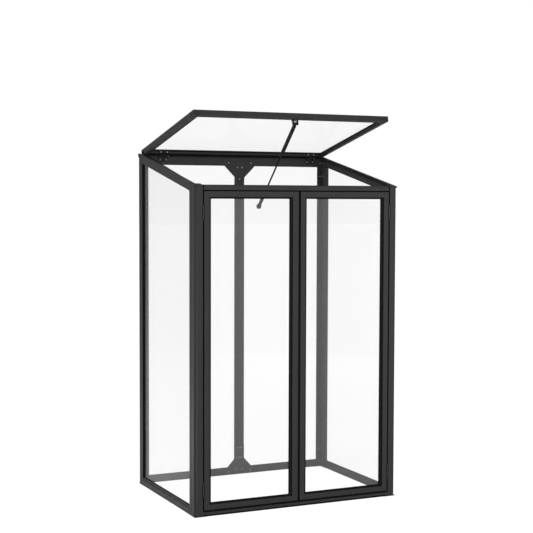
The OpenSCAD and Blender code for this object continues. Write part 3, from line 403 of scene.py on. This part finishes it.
def screw_mesh():
    """Pan-head screw with a cross recess; its seat is at the origin and its head looks up +Z."""
    r, h = SCREW_HEAD_R, SCREW_HEAD_H
    dome = [(r, 0.35 * h), (0.93 * r, 0.68 * h), (0.75 * r, 0.88 * h), (0.45 * r, 0.98 * h), (0, h)]
    stem = [(0, -SCREW_BELOW), (SCREW_SHANK_R, -SCREW_BELOW), (SCREW_SHANK_R, 0), (r, 0)]
    screw = to_piece(turned_shape(stem + dome, steps=24), "screw_shape")
    cross = bmesh.new()
    for turn in (0, 90):
        arm = Matrix.Diagonal((RECESS_SPAN * r, RECESS_WIDTH * r, h, 1))
        place = Matrix.Rotation(math.radians(turn), 4, "Z") @ arm
        bmesh.ops.create_cube(cross, size=1, matrix=Matrix.Translation((0, 0, h * 0.95)) @ place)
    cutter = to_piece(cross, "recess_shape")
    cut = screw.modifiers.new("recess", "BOOLEAN")
    cut.operation = "DIFFERENCE"
    cut.use_self = True
    cut.object = cutter
    made = baked(screw, "screw_shape")
    bpy.data.objects.remove(cutter)
    return made


def plug_mesh(radius, height, below):
    """Flat domed head on a short stem."""
    profile = [(0, -below), (0.5 * radius, -below), (0.5 * radius, 0), (radius, 0),
        (0.96 * radius, 0.45 * height), (0.7 * radius, 0.85 * height), (0, height)]
    return to_piece(turned_shape(profile, steps=20), "plug_shape")


def fixing_tree(shape, finish):
    """Sets one fixing on each seat, turned to look along the seat's facing and spun at random."""
    tree = bpy.data.node_groups.new("fixings_on_seats", "GeometryNodeTree")
    face = tree.interface
    face.new_socket("Seats", in_out="INPUT", socket_type="NodeSocketGeometry")
    face.new_socket("Fixing size", in_out="INPUT", socket_type="NodeSocketFloat")
    face.new_socket("Spin seed", in_out="INPUT", socket_type="NodeSocketInt")
    face.new_socket("Fixings", in_out="OUTPUT", socket_type="NodeSocketGeometry")

    def node(kind, settings=None, values=None):
        return add_node(tree, kind, settings, values)

    given = node("NodeGroupInput")
    fixing = node("GeometryNodeObjectInfo", {}, {"Object": shape})
    seat = node("GeometryNodeInputNamedAttribute", {"data_type": "FLOAT_VECTOR"}, {"Name": "facing"})
    look = node("FunctionNodeAlignRotationToVector", {"axis": "Z"}, {"Vector": seat.outputs["Attribute"]})
    spin = node("FunctionNodeRandomValue", {"data_type": "FLOAT"},
        {2: 0.0, 3: math.pi / 2, "Seed": given.outputs["Spin seed"]})
    about = node("FunctionNodeAxisAngleToRotation", {}, {"Axis": (0, 0, 1), "Angle": spin.outputs[1]})
    turned = node("FunctionNodeRotateRotation", {"rotation_space": "LOCAL"},
        {"Rotation": look.outputs[0], "Rotate By": about.outputs[0]})
    placed = node("GeometryNodeInstanceOnPoints", {}, {
        "Points": given.outputs["Seats"], "Instance": fixing.outputs["Geometry"],
        "Rotation": turned.outputs[0], "Scale": given.outputs["Fixing size"]})
    real = node("GeometryNodeRealizeInstances", {}, {"Geometry": placed.outputs[0]})
    dressed = node("GeometryNodeSetMaterial", {}, {"Geometry": real.outputs[0], "Material": finish})
    node("NodeGroupOutput", {}, {0: dressed.outputs[0]})
    return tree


def fixings(name, seats, shape, finish, body, size=1.0, seed=1):
    """One mesh of fixings; each seat is (place, facing)."""
    mesh = bpy.data.meshes.new(name)
    mesh.from_pydata([place for place, _ in seats], [], [])
    facing = mesh.attributes.new("facing", "FLOAT_VECTOR", "POINT")
    for item, (_, look) in zip(facing.data, seats):
        item.vector = look
    carrier = new_piece(name + "_seats", mesh)
    tree = fixing_tree(shape, finish)
    work = carrier.modifiers.new("fixings", "NODES")
    work.node_group = tree
    for item in tree.interface.items_tree:
        if item.name == "Fixing size":
            work[item.identifier] = size
        if item.name == "Spin seed":
            work[item.identifier] = seed
    piece = baked(carrier, name)
    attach(piece, body)
    return piece


HEAD_RIM_FROM = 2.9 * MM
OFF_MIDDLE = 0.1 * MM


def screw_seats(name):
    """Seat and facing of each screw that the CAD node holds, read from its own solids."""
    seats = []
    for points in solids_of(name):
        low, high = box_of(points)
        size = high - low
        along = min(range(3), key=lambda i: size[i])
        middle = (low + high) / 2
        wide = [p for p in points
            if (p - middle).length > HEAD_RIM_FROM and abs(p[along] - middle[along]) > OFF_MIDDLE]
        rim = max(wide, key=lambda p: sum((p[i] - middle[i]) ** 2 for i in range(3) if i != along))
        look = Vector((0, 0, 0))
        look[along] = 1.0 if rim[along] > middle[along] else -1.0
        seat = middle.copy()
        seat[along] = (high if look[along] > 0 else low)[along] - look[along] * SCREW_HEAD_H
        seats.append((seat, look))
    return seats


# Between these distances from the middle, in metres, stand the screws of the flap's hinges
BLACK_SCREW_X = (0.35, 0.46)


def make_screws():
    """Cross-head screws in place of the CAD ones: zinc-plated, and black on the flap's hinges."""
    screw = screw_mesh()
    for name, body, seed in (("frame_screws", "frame", 11), ("flap_screws", "roof_flap", 12)):
        piece = fixings(name + "_cross_head", screw_seats(name), screw, zinc, body, seed=seed)
        piece.data.materials.append(lacquer)
        for face in piece.data.polygons:
            if BLACK_SCREW_X[0] < abs(face.center.x) < BLACK_SCREW_X[1]:
                face.material_index = 1
        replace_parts(piece, name)
    bpy.data.objects.remove(screw)


make_screws()


# Beads: bars and rings of constant section; from here on sizes and places are in mm
def mm(x, y, z):
    return Vector((x * MM, y * MM, z * MM))


def box_mm(name):
    """Low and high corner of a CAD node, to a tenth."""
    corners = box_of([point.co for point in nodes[name].data.vertices])
    return [[round(c / MM, 1) for c in corner] for corner in corners]


def rectangle(x0, x1, z0, z1):
    return [(x0, z0), (x1, z0), (x1, z1), (x0, z1)]


def inset(outline, by):
    """The outline moved inward; its points run anticlockwise."""
    moved = []
    for i, here in enumerate(outline):
        before, after = outline[i - 1], outline[(i + 1) % len(outline)]
        sides = [Vector((-d.y, d.x)).normalized() for d in (here - before, after - here)]
        moved.append(here + (sides[0] + sides[1]) * (by / (1 + sides[0].dot(sides[1]))))
    return moved


def ring_bead(shape, outline, section, place):
    """A closed bead; section holds (inset, level), place turns a point and a level into a position."""
    outline = [Vector(point) for point in outline]
    loops = [[shape.verts.new(place(point, level)) for point in inset(outline, by)] for by, level in section]
    for i, loop in enumerate(loops):
        other = loops[(i + 1) % len(loops)]
        for j in range(len(loop)):
            k = (j + 1) % len(loop)
            shape.faces.new([loop[j], loop[k], other[k], other[j]])


def straight_bead(shape, start, end, section, place):
    """A bar of constant section from start to end; section holds points of the plane that place gives."""
    rings = [[shape.verts.new(place(at, point)) for point in section] for at in (start, end)]
    for j in range(len(section)):
        k = (j + 1) % len(section)
        shape.faces.new([rings[0][j], rings[0][k], rings[1][k], rings[1][j]])
    shape.faces.new(rings[0][::-1])
    shape.faces.new(rings[1])


def finished(shape, name, finish, body):
    """The shape as a piece with its finish, on its body and in its material slot."""
    bmesh.ops.recalc_face_normals(shape, faces=shape.faces)
    piece = to_piece(shape, name)
    piece.data.materials.append(finish)
    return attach(piece, body)


# The walls and the roof, read from the solids
SILL_FROM, SILL_TO = box_mm("right_sill")
BODY_X = SILL_TO[0]
SILL_TOP_Z = SILL_TO[2]
SIDE_Y = (SILL_FROM[1], SILL_TO[1])
GLAZING_X = box_mm("side_pane_seals")[1][0]
FRONT_Y = box_mm("front_top_rail")[0][1]
BACK_Y = box_mm("rear_sill")[1][1]
ROOF_FRONT_Z = box_mm("front_top_rail")[1][2]
ROOF_BACK_Z = box_mm("rear_corner_caps")[1][2]
ROOF_SLOPE = math.atan((ROOF_BACK_Z - ROOF_FRONT_Z) / (BACK_Y - FRONT_Y))
RAIL_DEPTH = 38.0
SILL_RIDGE_Z = 38.8


def across_front(at, point):
    """For bars along X on the front; their section holds (behind the front, height)."""
    return mm(at, FRONT_Y + point[0], point[1])


def up_front(at, point):
    """For upright bars on the front; their section holds (x, behind the front)."""
    return mm(point[0], FRONT_Y + point[1], at)


def along_side(side):
    """For bars along Y on one side wall; their section holds (in from the wall's face, height)."""
    return lambda at, point: mm(side * (BODY_X - point[0]), at, point[1])


def raised_lip(low, high, slope, out):
    """Section of a thin strip on the front, as (across, behind the front)."""
    return [(low, 0.1), (low + slope, -out), (high - slope, -out), (high, 0.1)]


def rail_underside(y):
    return ROOF_FRONT_Z + (y - FRONT_Y) * math.tan(ROOF_SLOPE) - RAIL_DEPTH / math.cos(ROOF_SLOPE)


def side_glazing_beads():
    """Wedges that press on the side panes from outside, and thin black linings on the posts beside them,
    which are painted shade of the posts' steps.
    """
    y0, y1 = SIDE_Y
    opening = [(y0, SILL_RIDGE_Z), (y1, SILL_RIDGE_Z), (y1, rail_underside(y1)), (y0, rail_underside(y0))]
    wedge = [(-0.1, -0.1), (-0.1, 6.0), (0.6, 6.0), (1.2, 4.5), (1.9, 1.0), (2.0, -0.1)]
    # Painted shade: black linings on the posts' steps beside the panes.
    lining = [(4.5, -0.1), (4.5, 0.9), (10.6, 0.6), (11.2, -0.1)]
    shape = bmesh.new()
    for side in (-1, 1):
        ring_bead(shape, opening, wedge,
            lambda point, level: mm(side * (GLAZING_X + level), point.x, point.y))
        for wall, out in ((y0, 1), (y1, -1)):
            straight_bead(shape, SILL_RIDGE_Z + 1.0, rail_underside(wall) - 1.0, lining,
                lambda at, point: mm(side * (GLAZING_X + point[0]), wall + out * point[1], at))
    finished(shape, "side_glazing_beads", rubber, "frame")


# The doors: a step lies behind their face, and it is narrower along the top and bottom rails
DOORS = (("left_door", -1), ("right_door", 1))
DOOR_FACE = 12.0
DOOR_STEP = 11.0
RAIL_STEP_LESS = 4.0
DOOR_FOOT_Z, BOTTOM_STEP_Z = (corner[2] for corner in box_mm("left_door_bottom_rail"))
TOP_STEP_Z, DOOR_TOP_Z = (corner[2] for corner in box_mm("left_door_top_rail"))


def door_beads():
    """Black rubber in the corner behind each door's face, as painted shade of that recess, and the lip of the
    seal at the edge of the glass.
    """
    # Painted shade: the corner rubber darkens the inner wall behind the face.
    corner = [(-0.1, -0.1), (-0.1, 9.5), (0.5, 9.5), (1.1, 8.6), (1.3, -0.1)]
    lip = [(DOOR_STEP - 5.2, -0.1), (DOOR_STEP - 5.0, 0.6), (DOOR_STEP - 0.3, 0.8), (DOOR_STEP + 0.5, 0.2),
        (DOOR_STEP + 0.5, -0.1)]
    z0, z1 = BOTTOM_STEP_Z - DOOR_STEP, TOP_STEP_Z + DOOR_STEP
    for door, _ in DOORS:
        x0, x1 = (end[0] for end in box_mm(door + "_bottom_rail"))
        shape = bmesh.new()
        for section, outline in (
                (corner, rectangle(x0, x1, z0, z1)),
                (lip, rectangle(x0, x1, z0 - RAIL_STEP_LESS, z1 + RAIL_STEP_LESS))):
            ring_bead(shape, outline, section,
                lambda point, level: mm(point.x, FRONT_Y + DOOR_FACE - level, point.y))
        finished(shape, door + "_beads", rubber, door)


# The raised flap
FLAP_HINGE = next(joint for joint in frame["record"]["behaviour"]["joints"] if joint["name"] == "flap_hinge")
FLAP_TILT = math.radians(12.6)
FLAP_UNDERSIDE = 7.0
FLAP_INNER_X = box_mm("flap_right_rail")[0][0]
FLAP_INNER_Y = (-666.9, -11.0)


def on_flap(x, y, k):
    """A point of the flap: y runs back from the hinge line, k up from its underside."""
    z = FLAP_UNDERSIDE + k
    turned = Vector((x, y * math.cos(FLAP_TILT) + z * math.sin(FLAP_TILT),
        z * math.cos(FLAP_TILT) - y * math.sin(FLAP_TILT)))
    return turned * MM + Vector(FLAP_HINGE["pos_m"])


def flap_beads():
    """Rubber on the inner walls of the flap's rails, and a black fin along their lower inner edge that is
    partly a seal and partly painted shade on the rails' undersides.
    """
    outline = rectangle(-FLAP_INNER_X, FLAP_INNER_X, *FLAP_INNER_Y)
    wall = [(-0.1, 11.5), (-0.1, 17.1), (1.4, 17.1), (1.2, 13.0), (0.5, 11.7)]
    # The fin is partly a seal, partly painted shade on the rails' undersides.
    fin = [(-0.1, 0.2), (-0.1, 2.4), (2.0, 1.6), (7.0, 1.3), (7.0, 0.3)]
    shape = bmesh.new()
    for section in (wall, fin):
        ring_bead(shape, outline, section, lambda point, level: on_flap(point.x, point.y, level))
    finished(shape, "flap_wall_beads", rubber, "roof_flap")


CORNER_LIP_X = (469.6, 496.0)


def flap_corner_lips():
    """Soft blocks that close the slot under the flap at the rear corners."""
    block = [(341.5, 1627.0), (341.5, 1638.5), (346.5, 1637.6), (349.0, 1629.8), (356.3, 1629.5),
        (356.3, 1627.0)]
    shape = bmesh.new()
    for side in (-1, 1):
        straight_bead(shape, *(side * x for x in CORNER_LIP_X), block, lambda at, point: mm(at, *point))
    lips = finished(shape, "flap_corner_lips", rubber, "frame")
    mm(0, 343.0, 1627.0)
    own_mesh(lips)


# Thin trim on the frame and the doors
RAIL_JOINT_X = 473.2
GAP_TOP_Z = box_mm("door_stop_seal")[1][2]


def seam_shade_strips():
    """Black joint strips where the front top rail meets the posts, in line with the gaps beside the doors;
    their black is painted shade of the joint.
    """
    # Painted shade: black strips where the joint lies in shade.
    section = [(-3.1, 0.2), (-3.1, -0.3), (-2.5, -0.6), (2.5, -0.6), (3.1, -0.3), (3.1, 0.2)]
    shape = bmesh.new()
    for joint in (-RAIL_JOINT_X, RAIL_JOINT_X):
        strip = [(joint + x, behind) for x, behind in section]
        straight_bead(shape, GAP_TOP_Z, ROOF_FRONT_Z - 0.7, strip, up_front)
    finished(shape, "top_rail_joint_strips", rubber, "frame")


# The strips under the sills end short of the posts and of the feet
FRONT_STRIP_X = 476.4
SIDE_STRIP_Y = (-258.0, 305.0)
REAR_STRIP_X = 456.0


def base_strips():
    """Black strips that close the gap under the sills; the dark line they make along the sills' lower edges
    is painted contact shadow.
    """
    # Painted contact shadow: black strips along the foot of the sills.
    front = [(0.6, 0.5), (0.3, 6.8), (0.9, 7.6), (3.9, 7.6), (3.9, 2.9), (30.0, 2.9), (30.0, 0.5)]
    under = [(0.4, 0.5), (0.4, 2.9), (18.0, 2.9), (18.0, 0.5)]
    shape = bmesh.new()
    straight_bead(shape, -FRONT_STRIP_X, FRONT_STRIP_X, front, across_front)
    for side in (-1, 1):
        straight_bead(shape, *SIDE_STRIP_Y, under, along_side(side))
    straight_bead(shape, -REAR_STRIP_X, REAR_STRIP_X, under,
        lambda at, point: mm(at, BACK_Y - point[0], point[1]))
    finished(shape, "base_strips", rubber, "frame")


def sill_groove_shade_lines():
    """Black rubber cord in the long groove of each side sill, as painted shade of the groove."""
    # Painted shade: a black cord darkens the groove.
    cord = [(1.0, 27.3), (0.2, 27.5), (0.1, 29.5), (0.2, 31.5), (1.0, 31.7)]
    shape = bmesh.new()
    for side in (-1, 1):
        straight_bead(shape, *SIDE_Y, cord, along_side(side))
    finished(shape, "side_sill_cords", rubber, "frame")


SILL_LIP_Z = (19.4, 22.0)
SILL_LIP_X = 469.0
DOOR_LIP_X = 468.0
DOOR_LIP = 1.8
MEETING_LIP = 1.5
# How far a strip's sides slope and how far it stands out
DOOR_LIP_RISE = (0.2, 0.3)
LEAF_RISE = (0.3, 0.5)


def door_gap_shade_lips():
    """Black lips along the doors' lower and meeting edges and the sill below them: painted shade beside the
    gaps.
    """
    # Painted shade: black lips beside the gaps around the doors.
    def lip_across(shape, x0, x1, low, high):
        lip = [(behind, z) for z, behind in raised_lip(low, high, *DOOR_LIP_RISE)]
        straight_bead(shape, x0, x1, lip, across_front)

    shape = bmesh.new()
    lip_across(shape, -SILL_LIP_X, SILL_LIP_X, *SILL_LIP_Z)
    finished(shape, "sill_edge_lip", rubber, "frame")
    for door, side in DOORS:
        meeting = box_mm(door + "_meeting_stile")[1 if side < 0 else 0][0]
        shape = bmesh.new()
        ends = sorted((side * DOOR_LIP_X, meeting + side * (MEETING_LIP + 0.2)))
        lip_across(shape, *ends, DOOR_FOOT_Z, DOOR_FOOT_Z + DOOR_LIP)
        upright = raised_lip(*sorted((meeting, meeting + side * MEETING_LIP)), *DOOR_LIP_RISE)
        straight_bead(shape, DOOR_FOOT_Z + 1.5, DOOR_TOP_Z - 1.5, upright, up_front)
        finished(shape, door + "_edge_lips", rubber, door)


POST_LEAF_X = (475.9, 479.6)
DOOR_LEAF_X = (466.4, 469.9)


def hinge_shade_edges():
    """Black plates beside each knuckle, as painted shade at the edges of the hinge leaves: the post's leaf
    outside, the door's inside.
    """
    leaves = [box_of(points) for points in solids_of("post_hinge_leaves")]
    hinges = {tuple(round(end.z / MM, 1) for end in leaf) for leaf in leaves}
    for name, body, sides, (low, high) in (
            ("post_leaf_edges", "frame", (-1, 1), POST_LEAF_X),
            ("left_leaf_edges", "left_door", (-1,), DOOR_LEAF_X),
            ("right_leaf_edges", "right_door", (1,), DOOR_LEAF_X)):
        # Painted shade: black plates beside the knuckles.
        shape = bmesh.new()
        for side in sides:
            plate = [(side * x, behind) for x, behind in raised_lip(low, high, *LEAF_RISE)]
            for foot, head in sorted(hinges):
                straight_bead(shape, foot, head, plate, up_front)
        finished(shape, name, rod, body)


# Copies of solids with some of their edges moved to where the photograph has them
def reshaped(name, move):
    """A merged copy of a CAD node's mesh with some of its points moved."""
    shape = bmesh.new()
    shape.from_mesh(nodes[name].data)
    bmesh.ops.remove_doubles(shape, verts=shape.verts, dist=0.01 * MM)
    for point in shape.verts:
        point.co = Vector(move(*(point.co / MM))) * MM
    return shape


SILL_RIDGE_IN = 6.5
SILL_INNER_Z = 36.0
POST_LEG_Y = (box_mm("front_right_post")[1][1], box_mm("rear_right_post")[0][1])
FLANGE_X = (SILL_FROM[0], SILL_FROM[0] + 2.0)
# Points as near as this to a plane lie on it
SAME = 0.1


def lower_sill(x, y, z):
    """The sill's top slopes up from its face to a ridge at the glass and steps down inside it."""
    if abs(z - SILL_TOP_Z) > SAME:
        return x, y, z
    if abs(x) > BODY_X - SAME:
        return math.copysign(BODY_X - SILL_RIDGE_IN, x), y, SILL_RIDGE_Z
    return x, y, SILL_RIDGE_Z if abs(x) > GLAZING_X - SAME else SILL_INNER_Z


def side_sills():
    """The lowered sills, with their old height kept where the legs of the posts stand behind them."""
    for name, side in (("left_sill", -1), ("right_sill", 1)):
        shape = reshaped(name, lower_sill)
        for y0, y1 in ((SIDE_Y[0], POST_LEG_Y[0]), (POST_LEG_Y[1], SIDE_Y[1])):
            ends = rectangle(y0, y1, SILL_INNER_Z - 0.5, SILL_TOP_Z)
            straight_bead(shape, *FLANGE_X, ends, lambda at, point: mm(side * at, *point))
        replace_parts(finished(shape, name + "_profile", coat, "frame"), name)


SEAL_EDGE_Z = 49.0
OUTER_SEAL_Z = 39.8
INNER_SEAL_Z = 38.6
PANE_X = 500.0


def lower_seal(x, y, z):
    if abs(z - SEAL_EDGE_Z) > SAME:
        return x, y, z
    return x, y, OUTER_SEAL_Z if abs(x) > PANE_X else INNER_SEAL_Z


def side_seals():
    shape = reshaped("side_pane_seals", lower_seal)
    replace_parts(finished(shape, "side_pane_seals_fitted", rubber, "frame"), "side_pane_seals")


# The edges of the step and of the seals lie within this of the rail's inner edge
STEP_NEAR = 2.5


def shallower_step(x, y, z):
    """The step's edges moved towards the top and the foot of the door."""
    if abs(z - TOP_STEP_Z) < STEP_NEAR:
        return x, y, z + RAIL_STEP_LESS
    return x, y, z - RAIL_STEP_LESS if abs(z - BOTTOM_STEP_Z) < STEP_NEAR else z


def door_rails():
    """The doors' top and bottom rails and seals, with the narrower step inside the face."""
    for door, _ in DOORS:
        for end, finish, slot in (
                ("_top_rail", coat, "anthracite_coating"), ("_bottom_rail", coat, "anthracite_coating"),
                ("_seals", rubber, "black_rubber")):
            shape = reshaped(door + end, shallower_step)
            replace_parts(finished(shape, door + end + "_fitted", finish, door), door + end)


PLUG_X = (-92.5, 26.6, 429.0)
PLUG_Z = 1470.0


def rail_plugs():
    """Small black plugs in the face of the front top rail."""
    plug = plug_mesh(radius=2.6 * MM, height=0.5 * MM, below=1.5 * MM)
    seats = [(mm(x, FRONT_Y, PLUG_Z), Vector((0, -1, 0))) for x in PLUG_X]
    fixings("top_rail_plugs", seats, plug, plastic, "frame", seed=5)
    bpy.data.objects.remove(plug)


side_glazing_beads()
door_beads()
flap_beads()
flap_corner_lips()
seam_shade_strips()
base_strips()
sill_groove_shade_lines()
door_gap_shade_lips()
hinge_shade_edges()
side_sills()
side_seals()
door_rails()
rail_plugs()


# Floor, light and camera, with places and sizes in metres
WORLD_LIGHT = 0.265
FLOOR_HALF = 60.0
FLOOR_PAPER = 0.65
FLOOR_GLOW = 1.16
# How much of the plain white is seen: in the floor by the camera, in the sky and the floor by the gloss
FLOOR_SHOWN = 0.88
WORLD_IN_GLOSS = 0.06
FLOOR_IN_GLOSS = 0.12


def studio_floor():
    mesh = bpy.data.meshes.new("floor")
    corners = rectangle(-FLOOR_HALF, FLOOR_HALF, -FLOOR_HALF, FLOOR_HALF)
    mesh.from_pydata([(x, y, 0) for x, y in corners], [], [(0, 1, 2, 3)])
    floor = new_piece("floor", mesh)
    f = Finish("white_floor")
    paper = f.node("ShaderNodeBsdfDiffuse", {}, {"Color": grey(FLOOR_PAPER)})
    glow = f.node("ShaderNodeEmission", {}, {"Color": grey(1.0), "Strength": FLOOR_GLOW})
    seen = (f.straight_view() * FLOOR_SHOWN).most(f.glossy_view(FLOOR_IN_GLOSS))
    mesh.materials.append(f.done(f.blend(seen, paper, glow)))


def studio_light():
    f = Finish("studio", sky=True)
    soft = f.node("ShaderNodeBackground", {}, {"Color": grey(1.0), "Strength": WORLD_LIGHT})
    white = f.node("ShaderNodeBackground", {}, {"Color": grey(1.0), "Strength": 1.0})
    seen = f.straight_view().most(f.glossy_view(WORLD_IN_GLOSS))
    bpy.context.scene.world = f.done(f.blend(seen, soft, white))


# Soft boxes, all turned to the middle of the greenhouse: name, place, size and power in watts
TARGET = Vector((0.0, 0.0, 0.85))
BROAD = (2.4, 2.0)
SOFTBOXES = (
    ("left_softbox", (-3.4, 1.0, 0.5), BROAD, 52),
    ("low_left_softbox", (-1.3, 0.4, 0.08), (1.2, 0.3), 4.5),
    ("front_left_softbox", (-2.2, -5.2, 0.9), BROAD, 61),
    ("front_softbox", (-0.9, -5.6, 0.4), BROAD, 22),
    ("high_front_softbox", (0.6, -4.6, 3.6), BROAD, 27),
    ("front_right_softbox", (3.8, -4.0, 0.9), BROAD, 56),
    ("top_softbox", (0.0, 0.6, 4.4), BROAD, 26),
    ("back_softbox", (3.0, 4.2, 1.6), BROAD, 37))


def softbox(name, place, size, power):
    light = bpy.data.lights.new(name, "AREA")
    light.shape = "RECTANGLE"
    light.size, light.size_y = size
    light.energy = power
    lamp = bpy.data.objects.new(name, light)
    bpy.context.scene.collection.objects.link(lamp)
    lamp.location = place
    lamp.visible_camera = lamp.visible_transmission = False
    lamp.rotation_mode = "QUATERNION"
    lamp.rotation_quaternion = (TARGET - Vector(place)).to_track_quat("-Z", "Y")


# The camera that took the photograph, solved from the frame's straight edges
CAMERA_PLACE = Vector((-2.5377, -5.4626, 1.4150))
CAMERA_YAW = math.radians(24.9954)
CAMERA_PITCH = math.radians(-3.0722)
CAMERA_ROLL = math.radians(0.1556)
FOCAL_PIXELS = 1243.32
IMAGE_PIXELS = 533
SENSOR_MM = 36.0


def photo_camera():
    data = bpy.data.cameras.new("camera")
    data.sensor_width = SENSOR_MM
    data.lens = SENSOR_MM * FOCAL_PIXELS / IMAGE_PIXELS
    data.clip_start, data.clip_end = 0.1, 200.0
    camera = bpy.data.objects.new("camera", data)
    bpy.context.scene.collection.objects.link(camera)
    level = math.cos(CAMERA_PITCH)
    ahead = Vector((math.sin(CAMERA_YAW) * level, math.cos(CAMERA_YAW) * level, math.sin(CAMERA_PITCH)))
    right = Vector((math.cos(CAMERA_YAW), -math.sin(CAMERA_YAW), 0))
    up = right.cross(ahead)
    c, s = math.cos(CAMERA_ROLL), math.sin(CAMERA_ROLL)
    across, upward = right * c + up * s, up * c - right * s
    turn = Matrix((across, upward, -ahead)).transposed().to_4x4()
    camera.matrix_world = Matrix.Translation(CAMERA_PLACE) @ turn
    bpy.context.scene.camera = camera


studio_floor()
studio_light()
for box in SOFTBOXES:
    softbox(*box)
photo_camera()
bpy.context.scene.view_settings.view_transform = "Standard"
